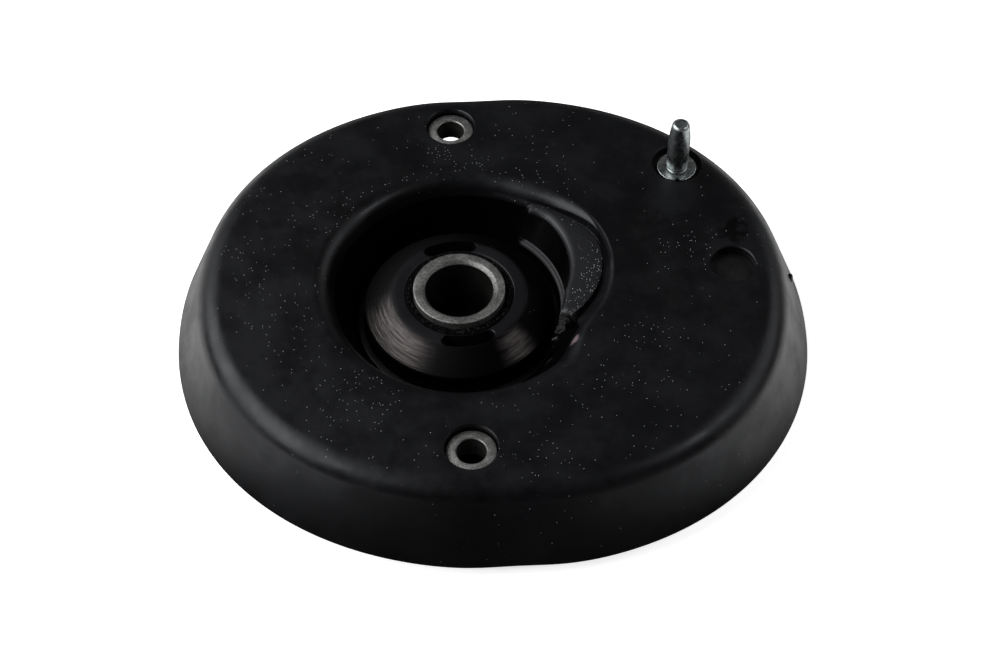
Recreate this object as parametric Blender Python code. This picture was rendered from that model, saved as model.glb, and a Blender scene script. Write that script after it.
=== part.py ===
"""Front strut mount: a rubber-covered pressed steel dish with a bonded bush in its neck.

The dish hangs under the body's strut tower. Two captive nuts and a plain locating stud
stand in recesses of its rubber cover, and a steel sleeve in a rubber bush holds the damper rod.
Everything is in metres. Z is up, the part stands on the foot of its neck at Z = 0, and
X = Y = 0 is the middle of the dish's outline. The damper's axis lies to one side of that.
"""

import math

import bmesh
import bpy
from mathutils import Vector

MM = 0.001

# Clearance that separate pieces keep where they touch
SEAT_GAP = 0.3 * MM

# Outline of the dish at its rim: a squarish oval, a little flatter at both nuts
RIM_LENGTH = 207.4 * MM
RIM_WIDTH = 188.2 * MM
RIM_SQUARENESS = 2.12
RIM_TURN = math.radians(1.2)
FLAT_DEPTH = 1.0 * MM
FLAT_TURN = math.radians(95.5)
FLAT_SPREAD = math.radians(8.0)

# Heights of the dish
FOOT_DROP = 6.0 * MM
DISH_HEIGHT = 26.0 * MM

# Rubber cover
COVER_WALL = 3.0 * MM
SHOULDER_RADIUS = 8.5 * MM
FLANK_FLARE = math.radians(22.0)
RIM_EDGE = 1.8 * MM
CARRIER_EDGE_RISE = 4.0 * MM

# Damper axis, and the pocket round it
AXIS_X = -11.14 * MM
AXIS_Y = 1.2 * MM
LIP_SHIFT_X = 1.8 * MM
LIP_SHIFT_Y = -2.3 * MM
LIP_RADIUS = 48.6 * MM
LIP_ROUNDING = 3.5 * MM
POCKET_DEPTH = 22.0 * MM
POCKET_FLOOR_RADIUS = 34.0 * MM

# Recess that widens the pocket on one side, where the buffer stands
RECESS_SHIFT_X = 12.2 * MM
RECESS_SHIFT_Y = 4.7 * MM
RECESS_RADIUS = 38.3 * MM
RECESS_ROUNDING = 2.0 * MM
RECESS_START = math.radians(-40.0)
RECESS_END = math.radians(59.0)
RECESS_RUN_OUT = math.radians(14.0)

# Stepped buffer in that recess: a crescent ledge, a shelf below it and a relief groove behind it
LEDGE_DEPTH = 4.5 * MM
LEDGE_INNER_SHIFT_X = 2.7 * MM
LEDGE_INNER_SHIFT_Y = 9.6 * MM
LEDGE_INNER_RADIUS = 34.9 * MM
LEDGE_OUTER_SHIFT_X = 15.5 * MM
LEDGE_OUTER_SHIFT_Y = 9.3 * MM
LEDGE_OUTER_RADIUS = 31.6 * MM
LEDGE_START = math.radians(-20.5)
LEDGE_EDGE = 1.6 * MM
SHELF_DEPTH = 14.3 * MM
SHELF_RADIUS = 33.6 * MM
SHELF_START = math.radians(-28.0)
SHELF_EDGE = 1.0 * MM
STEPS_END = math.radians(57.0)
STEP_RUN_OUT = math.radians(4.0)
STEP_DRAFT = 0.5 * MM
GROOVE_WIDTH = 0.8 * MM
GROOVE_DEPTH = 0.8 * MM
GROOVE_FLARE_START = math.radians(14.0)
GROOVE_FLARE_DEPTH = 7.0 * MM

# Pressed steel carrier under the cover, and the neck that it forms behind the pocket's rubber
CARRIER_WALL = 2.5 * MM
NECK_SHIFT_X = 3.0 * MM
NECK_SHIFT_Y = -1.0 * MM
NECK_MOUTH_RADIUS = 52.0 * MM
NECK_FLOOR_RUBBER = 3.3 * MM
NECK_BEND = 3.2 * MM
FOOT_OPENING_RADIUS = 27.0 * MM
FOOT_CORNER = 1.2 * MM

# Bush: outer ring, rubber and sleeve
RING_WALL = 2.5 * MM
RING_CHAMFER = 0.4 * MM
SLEEVE_RADIUS = 15.0 * MM
SLEEVE_BORE_RADIUS = 11.05 * MM
SLEEVE_TOP_DROP = 7.0 * MM
SLEEVE_FOOT_CLEARANCE = 1.0 * MM
SLEEVE_BORE_CHAMFER = 1.3 * MM
SLEEVE_EDGE_CHAMFER = 0.4 * MM
COLLAR_DROP = 2.2 * MM
COLLAR_RADIUS = 17.7 * MM
SCORE_WIDTH = 0.6 * MM
SCORE_DEPTH = 0.5 * MM
PLATEAU_RADIUS = 22.3 * MM
DOME_DROP = 5.8 * MM
BEAD_HEIGHT = 1.8 * MM
BEAD_UNDERCUT = 1.0 * MM
UNDERSIDE_ARCH = 5.0 * MM
UNDERSIDE_LIP = 1.7 * MM
SLOT_INNER_RADIUS = 18.1 * MM
SLOT_WIDTH = 4.3 * MM
SLOT_HALF_SPAN = math.radians(19.0)
SLOT_TURN = math.radians(100.0)

# Captive nuts, on a line through the neck, as far inside the rim as their bosses need
NUT_LINE_X = -10.69 * MM
NUT_LINE_Y = 0.4 * MM
NUT_LINE_TURN = math.radians(94.0)
NUT_RIM_DISTANCE = 26.45 * MM
NUT_BOSS_RADIUS = 7.7 * MM
NUT_BOSS_DROP = 2.2 * MM
NUT_LENGTH = 8.2 * MM
NUT_HEX_WIDTH = 17.0 * MM
NUT_BORE_RADIUS = 4.6 * MM
NUT_CHAMFER = 0.35 * MM
NUT_RECESS_RADIUS = 8.15 * MM

# Locating stud, placed from the right and the rear end of the rim
STUD_RIGHT_DISTANCE = 42.3 * MM
STUD_REAR_DISTANCE = 42.7 * MM
STUD_RECESS_RADIUS = 8.35 * MM
STUD_COLLAR_RADIUS = 6.65 * MM
STUD_COLLAR_THICKNESS = 1.4 * MM
STUD_COLLAR_CHAMFER = 0.25 * MM
STUD_NOTCH_RADIUS = 0.9 * MM
STUD_PIN_RADIUS = 3.65 * MM
STUD_PIN_LENGTH = 20.3 * MM
STUD_WAIST_RADIUS = 3.1 * MM
STUD_WAIST_LENGTH = 1.6 * MM
STUD_TAPER_LENGTH = 6.5 * MM
STUD_TIP_RADIUS = 2.95 * MM
STUD_NOSE_CHAMFER = 0.7 * MM
STUD_HEAD_RADIUS = 5.3 * MM
STUD_HEAD_THICKNESS = 2.0 * MM

# Dimple where the mould held the carrier, placed from the right end of the rim
DIMPLE_RIGHT_DISTANCE = 26.3 * MM
DIMPLE_Y = 7.0 * MM
DIMPLE_RADIUS = 7.25 * MM

# Smoothness: sides of the round pieces, and steps of their rounded edges
DISH_SIDES = 96
CARRIER_SIDES = 60
BUSH_SIDES = 60
SMALL_SIDES = 36
SHOULDER_STEPS = 5
BEND_STEPS = 2
LIP_STEPS = 3
DOME_STEPS = 5
ARCH_STEPS = 4
SLOT_END_STEPS = 6
SLOT_EDGE_STEPS = 6

# Heights and places that follow from the sizes above
TOP_Z = FOOT_DROP + DISH_HEIGHT
CARRIER_DEPTH = COVER_WALL + SEAT_GAP
CARRIER_TOP_Z = TOP_Z - CARRIER_DEPTH
CARRIER_BOTTOM_Z = CARRIER_TOP_Z - CARRIER_WALL
NECK_FLOOR_RADIUS = POCKET_FLOOR_RADIUS + NECK_FLOOR_RUBBER
NECK_SLANT = math.atan2(NECK_MOUTH_RADIUS - NECK_FLOOR_RADIUS, POCKET_DEPTH - COVER_WALL)
RING_OUTER_RADIUS = POCKET_FLOOR_RADIUS - SEAT_GAP
RING_INNER_RADIUS = RING_OUTER_RADIUS - RING_WALL
RING_BOTTOM_Z = CARRIER_WALL + SEAT_GAP
RING_TOP_Z = TOP_Z - POCKET_DEPTH
SLEEVE_TOP_Z = TOP_Z - SLEEVE_TOP_DROP
COLLAR_Z = SLEEVE_TOP_Z - COLLAR_DROP
DAMPER_AXIS = Vector((AXIS_X, AXIS_Y, 0.0))
NUT_LINE_CENTRE = Vector((NUT_LINE_X, NUT_LINE_Y, 0.0))
NUT_PITCH = RIM_WIDTH - 2 * NUT_RIM_DISTANCE
NUT_REACH = Vector((math.cos(NUT_LINE_TURN), math.sin(NUT_LINE_TURN), 0.0)) * (NUT_PITCH / 2)
FRONT_NUT_AT = NUT_LINE_CENTRE - NUT_REACH
REAR_NUT_AT = NUT_LINE_CENTRE + NUT_REACH
STUD_AT = Vector((RIM_LENGTH / 2 - STUD_RIGHT_DISTANCE, RIM_WIDTH / 2 - STUD_REAR_DISTANCE, 0.0))
DIMPLE_AT = Vector((RIM_LENGTH / 2 - DIMPLE_RIGHT_DISTANCE, DIMPLE_Y, 0.0))
CUT_OVERRUN = 1.0 * MM


def clear_scene():
    """Remove every object that the opened scene holds."""
    for leftover in list(bpy.data.objects):
        bpy.data.objects.remove(leftover, do_unlink=True)


def make_material(name, colour, roughness, metallic):
    """Make a plain Principled material."""
    material = bpy.data.materials.new(name)
    material.use_nodes = True
    shader = material.node_tree.nodes["Principled BSDF"]
    shader.inputs["Base Color"].default_value = (*colour, 1.0)
    shader.inputs["Roughness"].default_value = roughness
    shader.inputs["Metallic"].default_value = metallic
    return material


def add_object(name, shape, material):
    """Turn a closed bmesh into a named object with smooth round faces and one material."""
    bmesh.ops.recalc_face_normals(shape, faces=shape.faces)
    mesh = bpy.data.meshes.new(name)
    shape.to_mesh(mesh)
    shape.free()
    mesh.shade_smooth()
    mesh.set_sharp_from_angle(angle=math.radians(35.0))
    if material:
        mesh.materials.append(material)
    piece = bpy.data.objects.new(name, mesh)
    bpy.context.scene.collection.objects.link(piece)
    return piece


def unit(turn):
    """Give the level direction at an angle from +X."""
    return Vector((math.cos(turn), math.sin(turn), 0.0))


def turns(count):
    """Give the angles of `count` even steps round a circle."""
    return [math.tau * i / count for i in range(count)]


def arc(centre, radius, start, end, steps):
    """Give the points of an arc in a section, as (distance, height) pairs."""
    angles = [start + (end - start) * i / steps for i in range(steps + 1)]
    return [(centre[0] + radius * math.cos(a), centre[1] + radius * math.sin(a)) for a in angles]


def between(low, high, value):
    """Give a smooth 0 to 1 as a value goes from low to high."""
    share = min(max((value - low) / (high - low), 0.0), 1.0)
    return share * share * (3 - 2 * share)


def window(start, end, run_out, turn):
    """Give a smooth 0, 1 and 0 again as an angle passes the start and the end of a sector."""
    turn = math.remainder(turn, math.tau)
    rising = between(start - run_out / 2, start + run_out / 2, turn)
    falling = between(end - run_out / 2, end + run_out / 2, turn)
    return rising * (1 - falling)


def turned(name, profile, closed, sides, place, material):
    """Spin a profile of (radius, height) points round an upright axis at `place`.

    A closed profile makes a ring or tube. An open one starts and ends on the axis.
    """
    shape = bmesh.new()
    verts = [shape.verts.new((radius, 0.0, height)) for radius, height in profile]
    ends = verts[1:] + verts[:1] if closed else verts[1:]
    edges = [shape.edges.new(pair) for pair in zip(verts, ends)]
    bmesh.ops.spin(shape, geom=verts + edges, cent=(0, 0, 0), axis=(0, 0, 1), dvec=(0, 0, 0),
                   angle=math.tau, steps=sides, use_merge=True, use_duplicate=False)
    bmesh.ops.remove_doubles(shape, verts=shape.verts, dist=0.001 * MM)
    piece = add_object(name, shape, material)
    piece.location = place
    return piece


def swept(rings):
    """Join a closed series of rings, each a list of points, into one tube-like bmesh."""
    shape = bmesh.new()
    rows = [[shape.verts.new(point) for point in ring] for ring in rings]
    for row, next_row in zip(rows, rows[1:] + rows[:1]):
        for i, vert in enumerate(row):
            j = (i + 1) % len(row)
            shape.faces.new((vert, row[j], next_row[j], next_row[i]))
    return shape


def add_cutter(name, shape, place):
    """Keep a bmesh as a hidden guide that cuts other pieces."""
    cutter = add_object(name, shape, None)
    cutter.location = place
    cutter.hide_render = True
    cutter.display_type = "WIRE"
    return cutter


def round_cutter(name, radius, bottom, top, place):
    """Make an upright cylinder that cuts a round hole."""
    shape = bmesh.new()
    bmesh.ops.create_cone(shape, cap_ends=True, segments=SMALL_SIDES, radius1=radius, radius2=radius,
                          depth=top - bottom)
    return add_cutter(name, shape, place + Vector((0, 0, (top + bottom) / 2)))


def hole_cutters(places, bottom, top):
    """Make the cutters for the round holes that one layer of the dish has in its flat top."""
    return [round_cutter(name, radius, bottom, top, place) for name, radius, place in places]


def kidney_cutter(name, turn, bottom, top):
    """Make an upright kidney-shaped prism that cuts one slot beside the sleeve's collar."""
    middle = SLOT_INNER_RADIUS + SLOT_WIDTH / 2
    outline = []
    for side, cap_start in ((1, 0.0), (-1, math.pi)):
        for i in range(1, SLOT_EDGE_STEPS):
            along = turn + side * SLOT_HALF_SPAN * (2 * i / SLOT_EDGE_STEPS - 1)
            outline.append(unit(along) * (middle + side * SLOT_WIDTH / 2))
        heading = turn + side * SLOT_HALF_SPAN
        for i in range(SLOT_END_STEPS + 1):
            around = heading + cap_start + math.pi * i / SLOT_END_STEPS
            outline.append(unit(heading) * middle + unit(around) * SLOT_WIDTH / 2)
    shape = bmesh.new()
    face = shape.faces.new([shape.verts.new((point.x, point.y, bottom)) for point in outline])
    lifted = bmesh.ops.extrude_face_region(shape, geom=[face])
    moved = [item for item in lifted["geom"] if isinstance(item, bmesh.types.BMVert)]
    bmesh.ops.translate(shape, verts=moved, vec=(0, 0, top - bottom))
    return add_cutter(name, shape, DAMPER_AXIS)


def cut(piece, cutter):
    """Cut one object out of another with a live Boolean."""
    boolean = piece.modifiers.new(cutter.name, "BOOLEAN")
    boolean.operation = "DIFFERENCE"
    boolean.object = cutter
    boolean.solver = "EXACT"


def outline_radius(turn):
    """Give the rim's distance from the dish's middle in one direction."""
    along = abs(math.cos(turn - RIM_TURN)) / (RIM_LENGTH / 2)
    across = abs(math.sin(turn - RIM_TURN)) / (RIM_WIDTH / 2)
    radius = (along ** RIM_SQUARENESS + across ** RIM_SQUARENESS) ** (-1 / RIM_SQUARENESS)
    off_flat = math.remainder(turn - FLAT_TURN, math.pi)
    return radius - FLAT_DEPTH * math.exp(-(off_flat / FLAT_SPREAD) ** 2)


def outline_ring(inset, height, sides):
    """Give a ring that follows the outline, moved inwards square to it."""
    reach = math.radians(0.5)
    ring = []
    for turn in turns(sides):
        before = unit(turn - reach) * outline_radius(turn - reach)
        after = unit(turn + reach) * outline_radius(turn + reach)
        along = (after - before).normalized()
        inwards = Vector((-along.y, along.x, 0.0))
        ring.append(unit(turn) * outline_radius(turn) + inwards * inset + Vector((0, 0, height)))
    return ring


def shoulder_section(wall, foot_rise):
    """Give the (inset, height) line of flank and shoulder, `wall` inside the cover's outside.

    It runs from the flank's foot to where the flat top begins.
    """
    centre_height = TOP_Z - SHOULDER_RADIUS
    tangent_rise = centre_height + SHOULDER_RADIUS * math.sin(FLANK_FLARE) - FOOT_DROP
    centre_inset = tangent_rise * math.tan(FLANK_FLARE) + SHOULDER_RADIUS * math.cos(FLANK_FLARE)
    shoulder = arc((centre_inset, centre_height), SHOULDER_RADIUS - wall,
                   math.pi - FLANK_FLARE, math.pi / 2, SHOULDER_STEPS)
    foot_inset = foot_rise * math.tan(FLANK_FLARE) + wall / math.cos(FLANK_FLARE)
    return [(foot_inset, FOOT_DROP + foot_rise)] + shoulder


def dish_rings(wall, foot_rise, sides):
    """Give the rings of one surface of the dish, from the flank's foot to the flat top."""
    return [outline_ring(inset, height, sides) for inset, height in shoulder_section(wall, foot_rise)]


def ray_to_circle(turn, shift_x, shift_y, radius):
    """Give the distance from the damper's axis to a circle that is shifted off that axis."""
    along = shift_x * math.cos(turn) + shift_y * math.sin(turn)
    across_squared = shift_x ** 2 + shift_y ** 2 - along ** 2
    return along + math.sqrt(radius ** 2 - across_squared)


def axis_ring(section, sides):
    """Give a ring round the damper's axis; `section` gives (radius, depth) for an angle."""
    ring = []
    for turn in turns(sides):
        radius, depth = section(turn)
        ring.append(DAMPER_AXIS + unit(turn) * radius + Vector((0, 0, TOP_Z - depth)))
    return ring


def lip_point(turn, angle):
    """Give the (radius, depth) on the pocket's rounded lip, `angle` round from the flat top."""
    share = window(RECESS_START, RECESS_END, RECESS_RUN_OUT, turn)
    rounding = LIP_ROUNDING * (1 - share) + RECESS_ROUNDING * share
    plain = ray_to_circle(turn, LIP_SHIFT_X, LIP_SHIFT_Y, LIP_RADIUS)
    recess = ray_to_circle(turn, RECESS_SHIFT_X, RECESS_SHIFT_Y, RECESS_RADIUS)
    flat_edge = plain * (1 - share) + recess * share
    return flat_edge - rounding * math.sin(angle), rounding * (1 - math.cos(angle))


def wall_point(turn, depth):
    """Give the (radius, depth) on the plain pocket wall, straight from its lip to the bush's ring."""
    lip_radius, lip_depth = lip_point(turn, math.pi / 2)
    share = (depth - lip_depth) / (POCKET_DEPTH - lip_depth)
    return lip_radius * (1 - share) + POCKET_FLOOR_RADIUS * share, depth


def lip_rings(sides):
    """Give the rings of the pocket's rounded lip, from the flat top down to the wall."""
    angles = [math.pi / 2 * i / LIP_STEPS for i in range(LIP_STEPS + 1)]
    return [axis_ring(lambda turn, a=angle: lip_point(turn, a), sides) for angle in angles]


def neck_ring(depth, extra, sides):
    """Give a ring on the neck's cone at the back of the pocket's rubber, or `extra` outside it."""
    share = (depth - COVER_WALL) / (POCKET_DEPTH - COVER_WALL)
    radius = NECK_MOUTH_RADIUS * (1 - share) + NECK_FLOOR_RADIUS * share + extra
    shift_x = NECK_SHIFT_X * (1 - share)
    shift_y = NECK_SHIFT_Y * (1 - share)
    return axis_ring(lambda turn: (ray_to_circle(turn, shift_x, shift_y, radius), depth), sides)


def bend_rings(extra, depth, sides):
    """Give the rings of the bend from a surface under the flat top into the neck, neck first."""
    bend = arc((NECK_BEND, NECK_BEND), NECK_BEND, math.pi, math.pi * 1.5, BEND_STEPS)
    return [neck_ring(depth + down, extra + across, sides) for across, down in bend]


def stepped_wall(turn):
    """Give the (radius, depth) points down the pocket's stepped side in one direction."""
    flare = between(GROOVE_FLARE_START, LEDGE_START, turn)
    groove_depth = LEDGE_DEPTH + GROOVE_DEPTH + GROOVE_FLARE_DEPTH * flare
    ledge_outer = min(
        ray_to_circle(turn, LEDGE_OUTER_SHIFT_X, LEDGE_OUTER_SHIFT_Y, LEDGE_OUTER_RADIUS),
        wall_point(turn, groove_depth)[0] - GROOVE_WIDTH,
    )
    ledge_inner = min(
        ray_to_circle(turn, LEDGE_INNER_SHIFT_X, LEDGE_INNER_SHIFT_Y, LEDGE_INNER_RADIUS),
        ledge_outer - STEP_DRAFT,
    )
    block_radius = max(ledge_inner - LEDGE_EDGE, SHELF_RADIUS + STEP_DRAFT)
    return [
        wall_point(turn, groove_depth),
        (ledge_outer + STEP_DRAFT / 2, groove_depth),
        (ledge_outer, LEDGE_DEPTH),
        (ledge_inner, LEDGE_DEPTH),
        (block_radius, LEDGE_DEPTH + LEDGE_EDGE),
        (block_radius - STEP_DRAFT / 2, SHELF_DEPTH),
        (SHELF_RADIUS, SHELF_DEPTH),
        (SHELF_RADIUS - SHELF_EDGE, SHELF_DEPTH + SHELF_EDGE),
    ]


def plain_wall(turn):
    """Give as many (radius, depth) points as the stepped side has, down the plain wall."""
    drop = POCKET_DEPTH - LEDGE_DEPTH
    shares = (0.02, 0.08, 0.14, 0.2, 0.28, 0.55, 0.62, 0.7)
    return [wall_point(turn, LEDGE_DEPTH + drop * share) for share in shares]


def pocket_ring(row, sides):
    """Give one ring of the pocket's wall, where the plain and the stepped side run together."""
    start = LEDGE_START if row < 5 else SHELF_START

    def section(turn):
        turn = math.remainder(turn, math.tau)
        share = window(start, STEPS_END, STEP_RUN_OUT, turn)
        plain = plain_wall(turn)[row]
        stepped = stepped_wall(turn)[row]
        return [a * (1 - share) + b * share for a, b in zip(plain, stepped)]

    return axis_ring(section, sides)


def build_cover(material, holes):
    """Build the moulded rubber cover: flank, shoulder, flat top and the stepped pocket."""
    sides = DISH_SIDES
    rings = dish_rings(0.0, 0.0, sides)
    rings += lip_rings(sides)
    rings += [pocket_ring(row, sides) for row in range(len(plain_wall(0.0)))]
    rings.append(axis_ring(lambda turn: (POCKET_FLOOR_RADIUS, POCKET_DEPTH), sides))
    rings.append(neck_ring(POCKET_DEPTH, 0.0, sides))
    rings += bend_rings(0.0, COVER_WALL, sides)
    rings += reversed(dish_rings(COVER_WALL, CARRIER_EDGE_RISE - SEAT_GAP, sides))
    rings.append(outline_ring(RIM_EDGE, FOOT_DROP, sides))
    cover = add_object("rubber_cover", swept(rings), material)
    for hole in holes:
        cut(cover, hole)
    return cover


def build_carrier(material, holes):
    """Build the pressed steel carrier: flank, deck, and a neck that ends in the bush's seat."""
    sides = CARRIER_SIDES
    inner = SEAT_GAP / math.cos(NECK_SLANT)
    outer = (SEAT_GAP + CARRIER_WALL) / math.cos(NECK_SLANT)
    seat_depth = POCKET_DEPTH + SEAT_GAP
    tube_radius = POCKET_FLOOR_RADIUS + CARRIER_WALL

    def round_ring(radius, height):
        return axis_ring(lambda turn: (radius, TOP_Z - height), sides)

    rings = dish_rings(CARRIER_DEPTH, CARRIER_EDGE_RISE, sides)
    rings += reversed(bend_rings(inner, CARRIER_DEPTH, sides))
    rings += [
        neck_ring(seat_depth, inner, sides),
        round_ring(POCKET_FLOOR_RADIUS, TOP_Z - seat_depth),
        round_ring(POCKET_FLOOR_RADIUS, CARRIER_WALL),
        round_ring(FOOT_OPENING_RADIUS, CARRIER_WALL),
        round_ring(FOOT_OPENING_RADIUS, 0.0),
        round_ring(tube_radius - FOOT_CORNER, 0.0),
        round_ring(tube_radius, FOOT_CORNER),
        round_ring(tube_radius, TOP_Z - seat_depth - CARRIER_WALL),
        neck_ring(seat_depth + CARRIER_WALL, outer, sides),
    ]
    rings += bend_rings(outer, CARRIER_DEPTH + CARRIER_WALL, sides)
    rings += reversed(dish_rings(CARRIER_DEPTH + CARRIER_WALL, CARRIER_EDGE_RISE, sides))
    carrier = add_object("steel_carrier", swept(rings), material)
    for hole in holes:
        cut(carrier, hole)
    return carrier


def build_bush_ring(material):
    """Build the bush's outer steel ring, pressed into the neck."""
    profile = [
        (RING_INNER_RADIUS, RING_BOTTOM_Z),
        (RING_OUTER_RADIUS, RING_BOTTOM_Z),
        (RING_OUTER_RADIUS, RING_TOP_Z - RING_CHAMFER),
        (RING_OUTER_RADIUS - RING_CHAMFER, RING_TOP_Z),
        (RING_INNER_RADIUS + RING_CHAMFER, RING_TOP_Z),
        (RING_INNER_RADIUS, RING_TOP_Z - RING_CHAMFER),
    ]
    return turned("bush_outer_ring", profile, True, BUSH_SIDES, DAMPER_AXIS, material)


def build_bush_rubber(material):
    """Build the bush's rubber: a collar at the sleeve, a beaded dome with two slots, an arched foot."""
    inner = SLEEVE_RADIUS + SEAT_GAP
    outer = RING_INNER_RADIUS - SEAT_GAP
    dome_edge_z = COLLAR_Z - DOME_DROP
    bead_bottom_z = dome_edge_z - BEAD_HEIGHT
    profile = [
        (inner, RING_BOTTOM_Z),
        (inner, COLLAR_Z),
        (COLLAR_RADIUS - SCORE_WIDTH / 2, COLLAR_Z),
        (COLLAR_RADIUS, COLLAR_Z - SCORE_DEPTH),
        (COLLAR_RADIUS + SCORE_WIDTH / 2, COLLAR_Z),
    ]
    for across, rise in arc((0.0, 0.0), 1.0, math.pi / 2, 0.0, DOME_STEPS):
        radius = PLATEAU_RADIUS + (outer - PLATEAU_RADIUS) * across
        profile.append((radius, dome_edge_z + DOME_DROP * rise))
    profile += [
        (outer, bead_bottom_z),
        (outer - BEAD_UNDERCUT, bead_bottom_z - BEAD_UNDERCUT),
        (outer - BEAD_UNDERCUT, RING_TOP_Z + BEAD_UNDERCUT),
        (outer, RING_TOP_Z),
        (outer, RING_BOTTOM_Z),
    ]
    arch_outer = outer - UNDERSIDE_LIP
    arch_inner = inner + UNDERSIDE_LIP
    for i in range(ARCH_STEPS + 1):
        share = i / ARCH_STEPS
        radius = arch_outer + (arch_inner - arch_outer) * share
        profile.append((radius, RING_BOTTOM_Z + UNDERSIDE_ARCH * math.sin(math.pi * share)))
    rubber = turned("bush_rubber", profile, True, BUSH_SIDES, DAMPER_AXIS, material)
    for name, turn in (("rear_slot", SLOT_TURN), ("front_slot", SLOT_TURN + math.pi)):
        cut(rubber, kidney_cutter(name, turn, 0.0, COLLAR_Z + CUT_OVERRUN))
    return rubber


def build_sleeve(material):
    """Build the bush's inner sleeve, chamfered at both ends of its bore."""
    profile = []
    for end, inwards in ((SLEEVE_FOOT_CLEARANCE, 1), (SLEEVE_TOP_Z, -1)):
        chamfers = [
            (SLEEVE_BORE_RADIUS, end + inwards * SLEEVE_BORE_CHAMFER),
            (SLEEVE_BORE_RADIUS + SLEEVE_BORE_CHAMFER, end),
            (SLEEVE_RADIUS - SLEEVE_EDGE_CHAMFER, end),
            (SLEEVE_RADIUS, end + inwards * SLEEVE_EDGE_CHAMFER),
        ]
        profile += chamfers[::inwards]
    return turned("inner_sleeve", profile, True, BUSH_SIDES, DAMPER_AXIS, material)


def build_nut(material):
    """Build one captive nut about its own axis: a round boss through the deck on a hexagon."""
    top = TOP_Z - NUT_BOSS_DROP
    bottom = top - NUT_LENGTH
    hex_top = CARRIER_BOTTOM_Z - SEAT_GAP

    def round_ring(radius, height):
        return [unit(turn) * radius + Vector((0, 0, height)) for turn in turns(SMALL_SIDES)]

    def hex_ring(height):
        ring = []
        for turn in turns(SMALL_SIDES):
            off_flat = math.remainder(turn, math.pi / 3)
            ring.append(unit(turn) * (NUT_HEX_WIDTH / 2 / math.cos(off_flat)) + Vector((0, 0, height)))
        return ring

    rings = [
        round_ring(NUT_BORE_RADIUS, bottom + NUT_CHAMFER),
        round_ring(NUT_BORE_RADIUS, top - NUT_CHAMFER),
        round_ring(NUT_BORE_RADIUS + NUT_CHAMFER, top),
        round_ring(NUT_BOSS_RADIUS - NUT_CHAMFER, top),
        round_ring(NUT_BOSS_RADIUS, top - NUT_CHAMFER),
        round_ring(NUT_BOSS_RADIUS, hex_top),
        hex_ring(hex_top),
        hex_ring(bottom),
        round_ring(NUT_BORE_RADIUS + NUT_CHAMFER, bottom),
    ]
    return add_object("captive_nut_front", swept(rings), material)


def build_nuts(material):
    """Build both captive nuts, a flat of each hexagon square to the nut line."""
    front = build_nut(material)
    rear = bpy.data.objects.new("captive_nut_rear", front.data)
    bpy.context.scene.collection.objects.link(rear)
    for nut, place in ((front, FRONT_NUT_AT), (rear, REAR_NUT_AT)):
        nut.location = place
        nut.rotation_euler.z = NUT_LINE_TURN
    return [front, rear]


def build_stud(material):
    """Build the locating stud: riveted head, collar with a small notch, waisted pin, tapered tip."""
    head_top = CARRIER_BOTTOM_Z - SEAT_GAP
    head_bottom = head_top - STUD_HEAD_THICKNESS
    collar_bottom = CARRIER_TOP_Z + SEAT_GAP
    collar_top = collar_bottom + STUD_COLLAR_THICKNESS
    pin_top = collar_top + STUD_PIN_LENGTH
    profile = [
        (0.0, head_bottom),
        (STUD_HEAD_RADIUS - STUD_NOSE_CHAMFER, head_bottom),
        (STUD_HEAD_RADIUS, head_bottom + STUD_NOSE_CHAMFER),
        (STUD_HEAD_RADIUS, head_top),
        (STUD_PIN_RADIUS, head_top),
        (STUD_PIN_RADIUS, collar_bottom),
        (STUD_COLLAR_RADIUS, collar_bottom),
        (STUD_COLLAR_RADIUS, collar_top - STUD_COLLAR_CHAMFER),
        (STUD_COLLAR_RADIUS - STUD_COLLAR_CHAMFER, collar_top),
        (STUD_WAIST_RADIUS, collar_top),
        (STUD_WAIST_RADIUS, collar_top + STUD_WAIST_LENGTH / 2),
        (STUD_PIN_RADIUS, collar_top + STUD_WAIST_LENGTH),
        (STUD_PIN_RADIUS, pin_top - STUD_TAPER_LENGTH),
        (STUD_TIP_RADIUS, pin_top - STUD_NOSE_CHAMFER),
        (STUD_TIP_RADIUS - STUD_NOSE_CHAMFER, pin_top),
        (0.0, pin_top),
    ]
    stud = turned("locating_stud", profile, False, SMALL_SIDES, STUD_AT, material)
    notch_at = STUD_AT - Vector((0, STUD_COLLAR_RADIUS, 0))
    cut(stud, round_cutter("stud_notch", STUD_NOTCH_RADIUS, collar_bottom - SEAT_GAP / 2,
                           collar_top + CUT_OVERRUN, notch_at))
    return stud


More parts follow.
